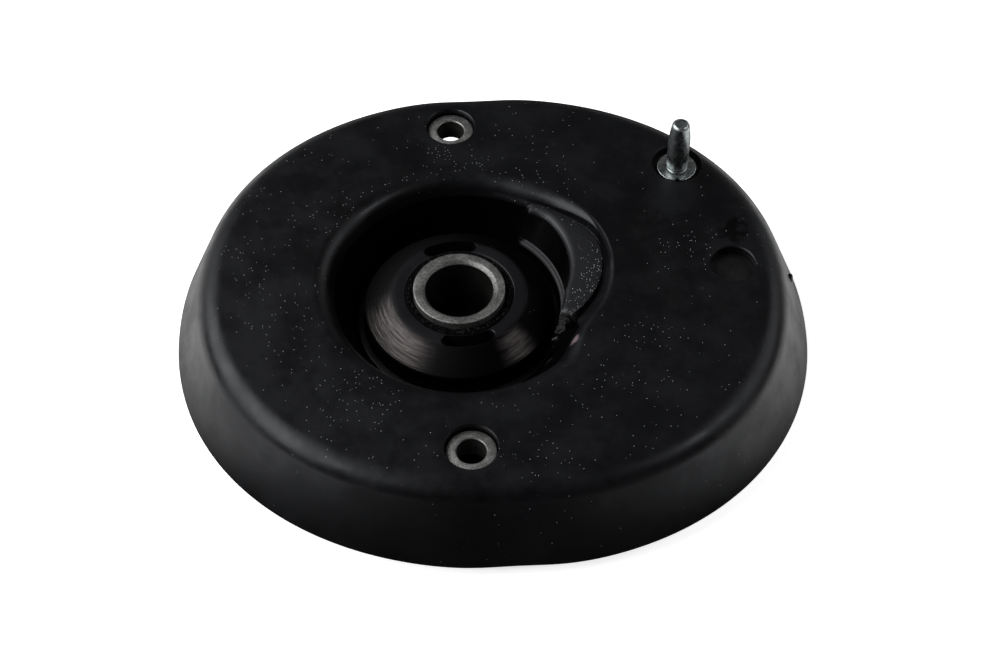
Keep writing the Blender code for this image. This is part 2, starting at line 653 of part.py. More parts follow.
def main():
    """Build the whole mount."""
    clear_scene()
    rubber = make_material("moulded_rubber", (0.012, 0.012, 0.014), 0.5, 0.0)
    coated_steel = make_material("black_coated_steel", (0.02, 0.02, 0.022), 0.45, 0.0)
    grey_steel = make_material("phosphated_steel", (0.22, 0.22, 0.21), 0.5, 1.0)
    zinc = make_material("zinc_plated_steel", (0.62, 0.66, 0.66), 0.32, 1.0)
    cover_places = [
        ("front_nut_recess", NUT_RECESS_RADIUS, FRONT_NUT_AT),
        ("rear_nut_recess", NUT_RECESS_RADIUS, REAR_NUT_AT),
        ("stud_recess", STUD_RECESS_RADIUS, STUD_AT),
        ("dimple", DIMPLE_RADIUS, DIMPLE_AT),
    ]
    carrier_places = [
        ("front_nut_hole", NUT_BOSS_RADIUS + SEAT_GAP, FRONT_NUT_AT),
        ("rear_nut_hole", NUT_BOSS_RADIUS + SEAT_GAP, REAR_NUT_AT),
        ("stud_hole", STUD_PIN_RADIUS + SEAT_GAP, STUD_AT),
    ]
    build_cover(rubber, hole_cutters(cover_places, CARRIER_BOTTOM_Z, TOP_Z + CUT_OVERRUN))
    build_carrier(coated_steel, hole_cutters(carrier_places, CARRIER_BOTTOM_Z - CUT_OVERRUN,
                                             CARRIER_TOP_Z + CUT_OVERRUN))
    build_bush_ring(coated_steel)
    build_bush_rubber(rubber)
    build_sleeve(grey_steel)
    build_nuts(grey_steel)
    build_stud(zinc)


main()
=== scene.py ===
"""Looks of a strut mount: a rubber-covered oval dish, a bonded bush, two nuts and a stud.

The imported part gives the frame: metres, Z up, the neck's foot on the floor at Z = 0. Each
of its pieces is modelled again here in the same form, with finer curves, softened edges
and its finish, and takes the place of the plain solid.
"""

import logging
import math
from dataclasses import dataclass
from enum import Enum

import bmesh
import bpy
from mathutils import Matrix, Vector


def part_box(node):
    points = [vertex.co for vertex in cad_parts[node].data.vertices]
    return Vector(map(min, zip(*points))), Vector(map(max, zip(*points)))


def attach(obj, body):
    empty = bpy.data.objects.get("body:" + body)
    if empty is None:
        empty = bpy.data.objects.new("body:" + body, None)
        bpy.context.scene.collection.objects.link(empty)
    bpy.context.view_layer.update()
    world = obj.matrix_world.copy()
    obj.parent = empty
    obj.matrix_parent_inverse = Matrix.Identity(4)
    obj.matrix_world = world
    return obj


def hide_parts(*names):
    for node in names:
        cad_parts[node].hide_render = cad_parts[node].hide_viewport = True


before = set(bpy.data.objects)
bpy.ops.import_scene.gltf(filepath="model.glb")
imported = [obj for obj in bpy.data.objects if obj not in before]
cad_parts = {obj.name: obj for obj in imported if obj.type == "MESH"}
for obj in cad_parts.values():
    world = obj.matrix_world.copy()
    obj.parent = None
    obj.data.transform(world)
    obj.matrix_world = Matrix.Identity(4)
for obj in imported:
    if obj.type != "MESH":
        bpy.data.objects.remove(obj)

MM = 0.001
BODY = "root"

# Vertices closer than this are one vertex
DOUBLES = 0.0005 * MM

# Edges that turn by more than this stay crisp
CRISP_ANGLE = math.radians(38.0)

# Clearance that separate pieces keep where they touch
SEAT_GAP = 0.3 * MM

# How far a cutter runs past the face that it opens
CUT_OVERRUN = 1.0 * MM

# Largest share of a side that the rounding at one of its ends takes up
LARGEST_REACH = 0.48

# Middle of the dimple's hole in the rubber
DIMPLE = Vector((77.4 * MM, 7.0 * MM, 0.0))

# Radii of the openings in the rubber
NUT_WINDOW_RADIUS = 8.15 * MM
STUD_WINDOW_RADIUS = 8.35 * MM
DIMPLE_RADIUS = 7.25 * MM

# Radii of the holes in the steel under it
NUT_HOLE_RADIUS = 8.0 * MM
STUD_HOLE_RADIUS = 3.95 * MM

Colour = tuple[float, float, float]
Point = tuple[float, float]
Corner = tuple[float, float, float]
Limits = tuple[float, float, float]
Shape = bmesh.types.BMesh
Piece = bpy.types.Object
Material = bpy.types.Material
Socket = bpy.types.NodeSocket
Value = float | Colour | Socket

log = logging.getLogger("strut_mount")


class Slot(Enum):
    """Material slots of the part's record."""

    RUBBER = "rubber"
    COATED_STEEL = "coated_steel"
    GREY_STEEL = "grey_steel"
    ZINC_STEEL = "zinc_steel"


class Detail(Enum):
    """Sides of the round pieces, by how large and how plain to see they are."""

    DISH = 360
    BUSH = 240
    CARRIER = 180
    SMALL = 96


def unit(turn: float) -> Vector:
    """Give the level direction at an angle from +X."""
    return Vector((math.cos(turn), math.sin(turn), 0.0))


def turns(count: int) -> list[float]:
    """Give the angles of `count` even steps round a circle."""
    return [math.tau * i / count for i in range(count)]


def between(low: float, high: float, value: float) -> float:
    """Give a smooth 0 to 1 as a value goes from low to high."""
    share = min(max((value - low) / (high - low), 0.0), 1.0)
    return share * share * (3 - 2 * share)


def window(start: float, end: float, run_out: float, turn: float) -> float:
    """Mark a sector of angles.

    Args:
        start: Angle where the sector starts.
        end: Angle where it ends.
        run_out: Angle over which it fades in and out.
        turn: Angle to look at.

    Returns:
        1 inside the sector, 0 outside and a smooth value at its ends.
    """
    turn = math.remainder(turn, math.tau)
    rising = between(start - run_out / 2, start + run_out / 2, turn)
    falling = between(end - run_out / 2, end + run_out / 2, turn)
    return rising * (1 - falling)


def arc(centre: Point, radius: float, start: float, end: float, steps: int) -> list[Point]:
    """Give the points of an arc in a section.

    Args:
        centre: Centre of the arc, as distance and height.
        radius: Radius of the arc.
        start: Angle of its first point.
        end: Angle of its last point.
        steps: Number of straight steps.

    Returns:
        The points, one more than the steps.
    """
    angles = [start + (end - start) * i / steps for i in range(steps + 1)]
    return [(centre[0] + radius * math.cos(a), centre[1] + radius * math.sin(a)) for a in angles]


def softened(corners: list[Corner], steps: int = 4) -> list[Point]:
    """Round the corners of a section line.

    Args:
        corners: Distance, height and reach of each corner. The reach is how far the
            rounding runs along the sides that meet there, and 0 keeps a corner sharp.
        steps: Number of straight steps in each rounding.

    Returns:
        The line's points, always as many for the same number of rounded corners.
    """
    line: list[Point] = []
    for i, (distance, height, reach) in enumerate(corners):
        here = Vector((distance, height))
        if reach == 0.0:
            line.append((distance, height))
            continue
        before = Vector(corners[i - 1][:2]) - here
        after = Vector(corners[(i + 1) % len(corners)][:2]) - here
        start = here + before.normalized() * min(reach, before.length * LARGEST_REACH)
        end = here + after.normalized() * min(reach, after.length * LARGEST_REACH)
        for step in range(steps + 1):
            share = step / steps
            bend = start.lerp(here, share).lerp(here.lerp(end, share), share)
            line.append((bend.x, bend.y))
    return line


def ray_to_circle(turn: float, shift: Point, radius: float) -> float:
    """Give the distance from an axis to a circle that is shifted off that axis.

    Args:
        turn: Direction to look in from the axis.
        shift: Centre of the circle, seen from the axis.
        radius: Radius of the circle.

    Returns:
        The distance to the circle in that direction.
    """
    along = shift[0] * math.cos(turn) + shift[1] * math.sin(turn)
    across_squared = shift[0] ** 2 + shift[1] ** 2 - along ** 2
    return along + math.sqrt(radius ** 2 - across_squared)


def next_loop(shape: Shape, loop: list[bmesh.types.BMVert],
              places: list[Vector]) -> list[bmesh.types.BMVert]:
    """Extrude a closed loop of edges and put the new loop in its place.

    Args:
        shape: Shape that holds the loop.
        loop: Vertices of the loop, in order.
        places: Place of each vertex of the new loop.

    Returns:
        The vertices of the new loop, in the same order.
    """
    edges = [shape.edges.get((loop[i - 1], loop[i])) for i in range(len(loop))]
    made = bmesh.ops.extrude_edge_only(shape, edges=edges)["geom"]
    fresh = {item for item in made if isinstance(item, bmesh.types.BMVert)}
    moved = []
    for vert, place in zip(loop, places):
        neighbours = [edge.other_vert(vert) for edge in vert.link_edges]
        twin = next(neighbour for neighbour in neighbours if neighbour in fresh)
        twin.co = place
        moved.append(twin)
    return moved


def loop_of(places: list[Vector], shape: Shape, filled: bool) -> list[bmesh.types.BMVert]:
    """Start a shape as one closed loop, with or without a face in it."""
    made = bmesh.ops.create_circle(shape, cap_ends=filled, segments=len(places), radius=1.0)
    loop = made["verts"]
    for vert, place in zip(loop, places):
        vert.co = place
    return loop


def skin(rings: list[list[Vector]]) -> Shape:
    """Extrude a loop from ring to ring and close the skin on the first ring.

    Args:
        rings: Rings of places, all with the same number of them.

    Returns:
        The closed shape, with its faces outwards.
    """
    shape = bmesh.new()
    loop = loop_of(rings[0], shape, filled=False)
    for ring in rings[1:] + rings[:1]:
        loop = next_loop(shape, loop, ring)
    bmesh.ops.remove_doubles(shape, verts=shape.verts, dist=DOUBLES)
    bmesh.ops.recalc_face_normals(shape, faces=shape.faces)
    return shape


def turned(profile: list[Point], centre: Vector, sides: int, closed: bool) -> Shape:
    """Spin a profile round an upright axis.

    Args:
        profile: Points of the profile, as radius and height.
        centre: A point on the axis.
        sides: Steps of the spin.
        closed: Whether the profile closes on itself. An open one starts and ends on the axis.

    Returns:
        The closed shape, with its faces outwards.
    """
    shape = bmesh.new()
    verts = [shape.verts.new((radius, 0.0, height)) for radius, height in profile]
    ends = verts[1:] + verts[:1] if closed else verts[1:]
    edges = [shape.edges.new(pair) for pair in zip(verts, ends)]
    bmesh.ops.spin(shape, geom=verts + edges, cent=(0, 0, 0), axis=(0, 0, 1), dvec=(0, 0, 0),
                   angle=math.tau, steps=sides, use_merge=True, use_duplicate=False)
    bmesh.ops.remove_doubles(shape, verts=shape.verts, dist=DOUBLES)
    bmesh.ops.recalc_face_normals(shape, faces=shape.faces)
    bmesh.ops.translate(shape, verts=shape.verts, vec=centre)
    return shape


def pillar(outline: list[Vector], heights: list[tuple[float, float]]) -> Shape:
    """Stand an outline up as a solid whose sides may flare.

    Args:
        outline: Level outline, anticlockwise as seen from above.
        heights: Height of each level and how far the outline grows there.

    Returns:
        The closed shape.
    """
    levels = [grown(outline, growth, height) for height, growth in heights]
    shape = bmesh.new()
    loop = loop_of(levels[0], shape, filled=True)
    for level in levels[1:]:
        loop = next_loop(shape, loop, level)
    bmesh.ops.contextual_create(shape, geom=loop)
    bmesh.ops.recalc_face_normals(shape, faces=shape.faces)
    return shape


def grown(outline: list[Vector], growth: float, height: float) -> list[Vector]:
    """Move a level outline outwards, square to itself, and up to a height."""
    level = []
    for i, point in enumerate(outline):
        along = (outline[(i + 1) % len(outline)] - outline[i - 1]).normalized()
        outwards = Vector((along.y, -along.x, 0.0))
        level.append(point + outwards * growth + Vector((0.0, 0.0, height)))
    return level


def shape_object(name: str, shape: Shape) -> Piece:
    """Turn a shape into an object at the origin and free the shape."""
    mesh = bpy.data.meshes.new(name)
    shape.to_mesh(mesh)
    shape.free()
    made = bpy.data.objects.new(name, mesh)
    bpy.context.scene.collection.objects.link(made)
    return made


def carved(name: str, shape: Shape, cutters: list[Shape],
           bumps: list[Shape] | None = None) -> Piece:
    """Cut shapes out of another and join shapes to it.

    Args:
        name: Name of the object that comes out.
        shape: Shape to work on.
        cutters: Shapes that are taken away.
        bumps: Shapes that are added.

    Returns:
        The carved object.
    """
    body = shape_object(name, shape)
    tools = [("DIFFERENCE", shape_object("cutter", cutter)) for cutter in cutters]
    tools += [("UNION", shape_object("bump", bump)) for bump in bumps or []]
    for operation, tool in tools:
        boolean = body.modifiers.new(tool.name, "BOOLEAN")
        boolean.operation = operation
        boolean.object = tool
        boolean.solver = "EXACT"
    graph = bpy.context.evaluated_depsgraph_get()
    result = bpy.data.meshes.new_from_object(body.evaluated_get(graph))
    body.modifiers.clear()
    body.data = result
    result.name = name
    for _, tool in tools:
        bpy.data.objects.remove(tool, do_unlink=True)
    return body


def dressed(piece: Piece, material: Material,
            node: str) -> Piece:
    """Finish a piece and let it stand for its node of the frame.

    Args:
        piece: The piece, in place.
        material: Its finish.
        node: Node of the frame that it replaces.

    Returns:
        The same piece.
    """
    piece.data.materials.clear()
    piece.data.materials.append(material)
    piece.data.shade_smooth()
    piece.data.set_sharp_from_angle(angle=CRISP_ANGLE)
    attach(piece, BODY)
    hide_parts(node)
    log.info("%s: %d faces, %s", piece.name, len(piece.data.polygons), material.name)
    return piece


def level_centre(node: str) -> Vector:
    """Give the middle of a frame node's box, at floor level."""
    low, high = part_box(node)
    return Vector(((low.x + high.x) / 2, (low.y + high.y) / 2, 0.0))


class Tree:
    """Node tree of one finish, with short calls for the patterns that the finishes share."""

    def __init__(self, name: str, metallic: float = 0.0, specular: float = 0.5) -> None:
        """Start a Principled material with the values that are the same all over it."""
        self.material = bpy.data.materials.new(name)
        self.material.use_nodes = True
        self.nodes = self.material.node_tree.nodes
        self.shader = self.nodes["Principled BSDF"]
        self.shader.inputs["Metallic"].default_value = metallic
        self.shader.inputs["Specular IOR Level"].default_value = specular

    def add(self, kind: str, inputs: dict[str | int, Value],
            **settings: str | bool) -> bpy.types.Node:
        """Add a node.

        Args:
            kind: Blender's name of the node type.
            inputs: Value or socket for each input, by name or number.
            **settings: Properties of the node.

        Returns:
            The node.
        """
        node = self.nodes.new(kind)
        for name, value in settings.items():
            setattr(node, name, value)
        for name, value in inputs.items():
            self.feed(node.inputs[name], value)
        return node

    def feed(self, socket: Socket, value: Value) -> None:
        """Link a socket to an input, or set a plain value there."""
        if isinstance(value, Socket):
            self.material.node_tree.links.new(value, socket)
        elif isinstance(value, tuple) and len(value) == 3 and socket.type == "RGBA":
            socket.default_value = (*value, 1.0)
        else:
            socket.default_value = value

    def coordinates(self, centre: Vector | None = None) -> Socket:
        """Give the place on the piece, in metres from a centre."""
        place = self.nodes.new("ShaderNodeTexCoord").outputs["Object"]
        if centre is None:
            return place
        inputs = {"Vector": place, "Location": tuple(-centre)}
        return self.add("ShaderNodeMapping", inputs).outputs[0]

    def calc(self, operation: str, first: Value, second: Value = 0.0) -> Socket:
        """Do one step of arithmetic on values."""
        return self.add("ShaderNodeMath", {0: first, 1: second}, operation=operation).outputs[0]

    def times(self, first: Value, *others: Value) -> Value:
        """Multiply values."""
        for other in others:
            first = self.calc("MULTIPLY", first, other)
        return first

    def highest(self, first: Value, *others: Value) -> Value:
        """Give the highest of several values."""
        for other in others:
            first = self.calc("MAXIMUM", first, other)
        return first

    def parts(self, vector: Socket) -> tuple[Socket, Socket, Socket]:
        """Split a vector into X, Y and Z."""
        outputs = self.add("ShaderNodeSeparateXYZ", {0: vector}).outputs
        return outputs[0], outputs[1], outputs[2]

    def radius(self, vector: Socket) -> Socket:
        """Give the level distance from the centre of the coordinates."""
        inputs = {0: vector, 1: (1.0, 1.0, 0.0)}
        flat = self.add("ShaderNodeVectorMath", inputs, operation="MULTIPLY")
        return self.distance(flat.outputs[0])

    def radius_from(self, centre: Vector) -> Socket:
        """Give the level distance from an upright axis."""
        return self.radius(self.coordinates(centre))

    def distance(self, vector: Socket) -> Socket:
        """Give the full distance from the centre of the coordinates."""
        return self.add("ShaderNodeVectorMath", {0: vector}, operation="LENGTH").outputs["Value"]

    def swirl(self, vector: Socket, across: float, around: float) -> Socket:
        """Give coordinates that run along circles about the centre.

        Args:
            vector: Place on the piece, from the circles' centre.
            across: Pattern scale over the radius, per metre.
            around: Pattern scale over a full turn, per radian.

        Returns:
            The coordinates, for a noise at scale 1.
        """
        x, y, z = self.parts(vector)
        turn = self.times(self.calc("ARCTAN2", y, x), around)
        out = self.times(self.radius(vector), across)
        down = self.times(z, across)
        return self.add("ShaderNodeCombineXYZ", {0: turn, 1: out, 2: down}).outputs[0]

    def noise(self, vector: Socket, scale: float, detail: float = 3.0,
              roughness: float = 0.55) -> Socket:
        """Give a cloudy noise from 0 to 1."""
        inputs = {"Vector": vector, "Scale": scale, "Detail": detail, "Roughness": roughness}
        return self.add("ShaderNodeTexNoise", inputs).outputs["Fac"]

    def step(self, value: Value, low: float, high: float, start: Value = 0.0,
             end: Value = 1.0) -> Socket:
        """Change smoothly from start to end as a value goes from low to high."""
        inputs = {"Value": value, "From Min": low, "From Max": high, "To Min": start, "To Max": end}
        node = self.add("ShaderNodeMapRange", inputs, interpolation_type="SMOOTHSTEP")
        return node.outputs["Result"]

    def fade(self, value: Value, low: float, high: float) -> Socket:
        """Change smoothly from 1 to 0 as a value goes from low to high."""
        return self.step(value, low, high, 1.0, 0.0)

    def ease(self, share: Value, start: Value, end: Value) -> Socket:
        """Change smoothly from start to end as a share goes from 0 to 1."""
        return self.step(share, 0.0, 1.0, start, end)

    def band(self, value: Value, low: float, high: float, edge: float) -> Socket:
        """Mark where a value lies between low and high, with soft edges."""
        return self.times(self.step(value, low - edge, low + edge),
                          self.fade(value, high - edge, high + edge))

    def layer(self, value: Value, level: float, limits: Limits) -> Socket:
        """Mark where a value lies within limits about a level."""
        low, high, edge = limits
        return self.band(value, level + low, level + high, edge)

    def mix(self, share: Value, first: Value, second: Value) -> Socket:
        """Mix two colours."""
        inputs = {0: share, 6: first, 7: second}
        return self.add("ShaderNodeMix", inputs, data_type="RGBA").outputs[2]

    def specks(self, vector: Socket, spacing: float, size: float, share: Value) -> Socket:
        """Mark small round specks.

        Args:
            vector: Place on the piece.
            spacing: Size of the cell that each speck has to itself.
            size: Largest radius of a speck.
            share: Share of the cells that hold one.

        Returns:
            1 on a speck and 0 off it.
        """
        cells = self.add("ShaderNodeTexVoronoi", {"Vector": vector, "Scale": 1.0 / spacing})
        chance, _, wide = self.parts(cells.outputs["Color"])
        reach = self.times(self.calc("ADD", wide, 0.4), size / spacing / 1.4)
        inside = self.calc("LESS_THAN", cells.outputs["Distance"], reach)
        return self.times(inside, self.calc("LESS_THAN", chance, share))

    def relief(self, height: Socket, depth: float, below: Socket | None = None) -> Socket:
        """Turn a height from 0 to 1 into a bumpy surface.

        Args:
            height: The height.
            depth: Depth of the relief in metres.
            below: Relief that this one lies on.

        Returns:
            The normal.
        """
        inputs: dict[str | int, Value] = {"Height": height, "Distance": depth, "Strength": 1.0}
        if below is not None:
            inputs["Normal"] = below
        return self.add("ShaderNodeBump", inputs).outputs["Normal"]

    def dress(self, colour: Value, roughness: Value, normal: Socket | None = None,
              gloss: Socket | None = None, tint: Value | None = None) -> Material:
        """Link the finish to the shader and give the material."""
        finish = {"Base Color": colour, "Roughness": roughness, "Normal": normal,
                  "Specular IOR Level": gloss, "Specular Tint": tint}
        for name, value in finish.items():
            if value is not None:
                self.feed(self.shader.inputs[name], value)
        return self.material


@dataclass(frozen=True)
class PocketPlaces:
    """Places in the cover's pocket, as shares from 0 to 1: the ledge, its edge and the shelf, where
    light is painted, the deep wall, where shade is painted, the dull lip and the glitter.
    """

    ledge: Socket
    edge: Socket
    shelf: Socket
    painted_shade: Socket
    dull: Socket
    glitter: Socket


@dataclass(frozen=True)
class CoverRubberFinish:
    """Moulded rubber of the dish: near black, faintly blue, blotched, creased and dusty, with light
    and shade painted in its pocket and painted glints by the buffer.
    """

    dark: Colour = (0.0011, 0.0011, 0.0015)
    hazy: Colour = (0.0026, 0.0027, 0.0035)
    cool: Colour = (0.93, 0.95, 1.0)
    # Painted light: the ledge, its inner edge and the shelf have lighter tones for the light they
    # catch; the edge and the shelf are painted highlight lines
    ledge: Colour = (0.0068, 0.0070, 0.0080)
    edge: Colour = (0.0120, 0.0122, 0.0132)
    shelf: Colour = (0.034, 0.034, 0.036)
    # Painted shade: near black for the pocket's deep wall
    painted_shade: Colour = (0.0008, 0.0008, 0.0009)
    dust: Colour = (0.36, 0.37, 0.39)
    # Pale spots: crumbs of the rubber's own, and a painted glint and streak of light
    scuffs_and_glints: Colour = (0.060, 0.060, 0.061)
    # Painted glint: a pale pinkish spot on the lip
    painted_glint: Colour = (0.16, 0.12, 0.13)
    smooth: float = 0.32
    matte: float = 0.47
    matte_spots: float = 0.58
    gloss: float = 0.27
    dull_gloss: float = 0.07
    mark_gloss: float = 0.5

    # Shares of the gloss that the deep wall and the shelf keep; the wall keeps as much dust
    deep_share: float = 0.08
    shelf_share: float = 0.5

    # About the ledge's height, its inner circle and the shelf's height: the low end, the high
    # end and the soft edge of the light painted there
    ledge_layer: Limits = (-0.6 * MM, 0.6 * MM, 0.4 * MM)
    edge_layer: Limits = (-1.5 * MM, 0.6 * MM, 0.3 * MM)
    edge_ring: Limits = (-3.0 * MM, -0.2 * MM, 0.4 * MM)
    shelf_layer: Limits = (-1.3 * MM, 0.25 * MM, 0.25 * MM)

    # How far right of the axis the painted shade on the deep wall thins out, and how far behind it
    # the glitter does
    painted_shade_end: Point = (37.0 * MM, 41.0 * MM)
    glitter_end: Point = (9.0 * MM, 19.0 * MM)

    # Radii over which the glitter on the ledge grows
    glitter_growth: Point = (22.0 * MM, 28.5 * MM)

    # From the damper's axis: the dull wall behind the ledge and the middle of the shelf, each
    # with the radii over which it fades
    dull_place: Vector = Vector((43.7 * MM, 23.2 * MM, 0.0))
    dull_fade: Point = (15.0 * MM, 21.0 * MM)
    shelf_place: Vector = Vector((31.5 * MM, 11.5 * MM, 0.0))
    shelf_fade: Point = (18.0 * MM, 20.0 * MM)

    # Dark smudge behind the dimple
    smudge_place: Vector = Vector((78.4 * MM, 22.5 * MM, 0.0))
    smudge_fade: Point = (1.5 * MM, 7.5 * MM)
    smudge_fray: float = 3.0 * MM
    smudge_share: float = 0.75

    # From the damper's axis: pale spots round the buffer's lower end, each with its radius: two
    # rough crumbs of the rubber's own, then a painted streak of light and a painted glint
    scuff_and_glint_spots: tuple[tuple[Vector, float], ...] = (
        (Vector((33.3 * MM, -11.6 * MM, 0.0)), 2.4 * MM),
        (Vector((36.6 * MM, -11.8 * MM, 0.0)), 1.9 * MM),
        (Vector((31.2 * MM, -15.2 * MM, 0.0)), 0.9 * MM),
        (Vector((29.1 * MM, -20.2 * MM, 0.0)), 1.5 * MM),
    )

    # From the damper's axis: a painted glint on the lip, a pale pinkish spot with more gloss
    painted_glint_place: Vector = Vector((37.0 * MM, -25.2 * MM, 29.8 * MM))
    painted_glint_radius: float = 2.6 * MM
    mark_fray: float = 0.7 * MM

    # Dust on the flat top and coarser glitter on the ledge: spacing and largest radius
    dust_grain: Point = (1.15 * MM, 0.15 * MM)
    glitter_grain: Point = (0.75 * MM, 0.20 * MM)
    dust_height: float = 0.05 * MM

    # Swells, creases and grain: the noise's scale, detail and roughness, then the depth
    textures: tuple[tuple[float, float, float, float], ...] = (
        (46.0, 3.0, 0.5, 0.35 * MM),
        (260.0, 4.0, 0.7, 0.05 * MM),
        (1500.0, 2.0, 0.55, 0.012 * MM),
    )

    # Ring that an ejector pin leaves: limits about its radius, and its height
    ring_limits: Limits = (-0.3 * MM, 0.0, 0.15 * MM)
    ring_height: float = 0.12 * MM

    def pocket_places(self, tree: Tree, height: Socket, pocket: "Pocket") -> PocketPlaces:
        """Mark the pocket's ledge, its edge and the shelf, painted lighter as light, the deep wall,
        painted dark as shade, and the dull lip.

        Args:
            tree: Node tree to work in.
            height: Height on the piece.
            pocket: Pocket to mark.

        Returns:
            The places.
        """
        axis, top = pocket.axis, pocket.top
        ledge, shelf = top - pocket.ledge_depth, top - pocket.shelf_depth
        outer, inner = pocket.ledge_outer_radius, pocket.ledge_inner_radius
        out = tree.radius_from(axis)
        by_outer = tree.radius_from(axis + Vector((*pocket.ledge_outer_shift, 0.0)))
        by_inner = tree.radius_from(axis + Vector((*pocket.ledge_inner_shift, 0.0)))
        to_right, to_rear, _ = tree.parts(tree.coordinates(axis))
        in_ledge = tree.fade(by_outer, outer - 0.3 * MM, outer + 0.5 * MM)
        on_ledge = tree.times(in_ledge, tree.layer(height, ledge, self.ledge_layer))
        on_edge = tree.times(
            tree.layer(by_inner, inner, self.edge_ring),
            tree.layer(height, ledge, self.edge_layer),
            in_ledge,
        )
        on_shelf = tree.times(
            tree.fade(tree.radius_from(axis + self.shelf_place), *self.shelf_fade),
            tree.layer(height, shelf, self.shelf_layer),
        )
        # Painted shade on the wall under the ledge, away from the edge and the shelf, thinning out
        # to the right
        painted_shade = tree.times(
            tree.fade(out, pocket.lip_radius, pocket.lip_radius + 1.0 * MM),
            tree.fade(height, ledge - 2.2 * MM, ledge - 0.7 * MM),
            tree.ease(tree.highest(on_edge, on_shelf), 1.0, 0.0),
            tree.step(to_right, *self.painted_shade_end, 1.0, 0.25),
        )
        dull = tree.times(
            tree.fade(tree.radius_from(axis + self.dull_place), *self.dull_fade),
            tree.fade(height, top - 0.30 * MM, top - 0.02 * MM),
            tree.ease(in_ledge, 1.0, 0.0),
        )
        glitter = tree.times(
            on_ledge,
            tree.step(by_outer, *self.glitter_growth, 0.08, 0.85),
            tree.step(to_rear, *self.glitter_end, 1.0, 0.1),
        )
        return PocketPlaces(on_ledge, on_edge, on_shelf, painted_shade, dull, glitter)

    def smudge(self, tree: Tree, place: Socket) -> Socket:
        """Mark the smudge, with a frayed outline."""
        cloud = tree.noise(place, 260.0)
        frayed = tree.step(cloud, 0.3, 0.7, -self.smudge_fray, self.smudge_fray)
        away = tree.calc("ADD", tree.radius_from(self.smudge_place), frayed)
        return tree.step(away, *self.smudge_fade, self.smudge_share, 0.0)

    def buffer_marks(self, tree: Tree, axis: Vector, place: Socket) -> tuple[Socket, Socket]:
        """Mark the pale spots round the buffer's lower end, partly crumbs and partly painted light,
        and the painted glint on the lip by it.

        Args:
            tree: Node tree to work in.
            axis: Point on the damper's axis.
            place: Place on the piece.

        Returns:
            The pale spots and the painted glint, as shares.
        """
        cloud = tree.noise(place, 700.0, 3.0, 0.7)
        frayed = tree.step(cloud, 0.3, 0.7, -self.mark_fray, self.mark_fray)
        scuffs_and_glints: Value = 0.0
        for spot, radius in self.scuff_and_glint_spots:
            away = tree.calc("ADD", tree.radius_from(axis + spot), frayed)
            scuffs_and_glints = tree.highest(scuffs_and_glints, tree.fade(away, radius * 0.4, radius))
        rough = tree.step(tree.noise(place, 1500.0, 3.0, 0.7), 0.42, 0.60, 0.12, 1.0)
        # Painted glint on the lip: a pale pinkish spot
        away = tree.distance(tree.coordinates(axis + self.painted_glint_place))
        away = tree.calc("ADD", away, tree.times(frayed, 0.5))
        painted_glint = tree.fade(away, self.painted_glint_radius * 0.35, self.painted_glint_radius)
        return tree.times(scuffs_and_glints, rough), painted_glint

    def dust_places(self, tree: Tree, place: Socket, top: float, places: PocketPlaces) -> Socket:
        """Mark the dust.

        Args:
            tree: Node tree to work in.
            place: Place on the piece.
            top: Height of the flat top, under which the dust thins out.
            places: Places in the pocket.

        Returns:
            1 on a grain of dust and 0 off it.
        """
        share = tree.times(
            tree.step(tree.noise(place, 34.0, 2.0), 0.42, 0.72, 0.04, 0.8),
            tree.step(tree.parts(place)[2], top - 1.0 * MM, top, 0.25, 1.0),
            tree.ease(places.painted_shade, 1.0, self.deep_share),
        )
        dust = tree.specks(place, *self.dust_grain, share)
        return tree.highest(dust, tree.specks(place, *self.glitter_grain, places.glitter))

    def relief(self, tree: Tree, place: Socket, dust: Socket,
               marks: list[tuple[Vector, float]]) -> Socket:
        """Swell, crease and grain the rubber, then raise the ejector pins' rings and the dust."""
        normal = None
        for scale, detail, roughness, depth in self.textures:
            normal = tree.relief(tree.noise(place, scale, detail, roughness), depth, normal)
        for mark, radius in marks:
            ring = tree.layer(tree.radius_from(mark), radius, self.ring_limits)
            normal = tree.relief(ring, self.ring_height, normal)
        return tree.relief(dust, self.dust_height, normal)

    def material(self, pocket: "Pocket", marks: list[tuple[Vector, float]]) -> Material:
        """Make the finish.

        Args:
            pocket: Pocket whose deep wall is painted in shade and whose ledge, ledge edge and shelf
                are painted lighter as light.
            marks: Place and radius of each ring that an ejector pin left.

        Returns:
            The material.
        """
        tree = Tree("moulded_rubber")
        place = tree.coordinates()
        places = self.pocket_places(tree, tree.parts(place)[2], pocket)
        smudge = self.smudge(tree, place)
        scuffs_and_glints, painted_glint = self.buffer_marks(tree, pocket.axis, place)
        dust = self.dust_places(tree, place, pocket.top, places)
        lighter_tone = tree.step(tree.noise(place, 22.0, 4.0, 0.6), 0.38, 0.68)
        colour = tree.mix(lighter_tone, self.dark, self.hazy)
        # Painted light and shade go in with the rubber's own tones: the deep wall dark, the ledge,
        # its edge and the shelf lighter, and painted glints by the buffer
        tones = (
            (places.painted_shade, self.painted_shade),
            (places.ledge, self.ledge),
            (places.edge, self.edge),
            (places.shelf, self.shelf),
            # The smudge is dirt and takes the same near black as the painted shade
            (smudge, self.painted_shade),
            (dust, self.dust),
            (scuffs_and_glints, self.scuffs_and_glints),
            (painted_glint, self.painted_glint),
        )
        for share, tone in tones:
            colour = tree.mix(share, colour, tone)
        gloss = tree.times(
            tree.ease(tree.highest(places.dull, smudge), self.gloss, self.dull_gloss),
            tree.ease(places.painted_shade, 1.0, self.deep_share),
            tree.ease(places.shelf, 1.0, self.shelf_share),
        )
        gloss = tree.highest(gloss, tree.times(tree.highest(scuffs_and_glints, painted_glint), self.mark_gloss))
        patches = tree.noise(place, 60.0, 4.0, 0.65)
        roughness = tree.highest(
            tree.step(patches, 0.35, 0.65, self.smooth, self.matte),
            tree.times(tree.highest(places.ledge, places.dull), self.matte_spots),
        )
        normal = self.relief(tree, place, dust, marks)
        return tree.dress(colour, roughness, normal, gloss, self.cool)


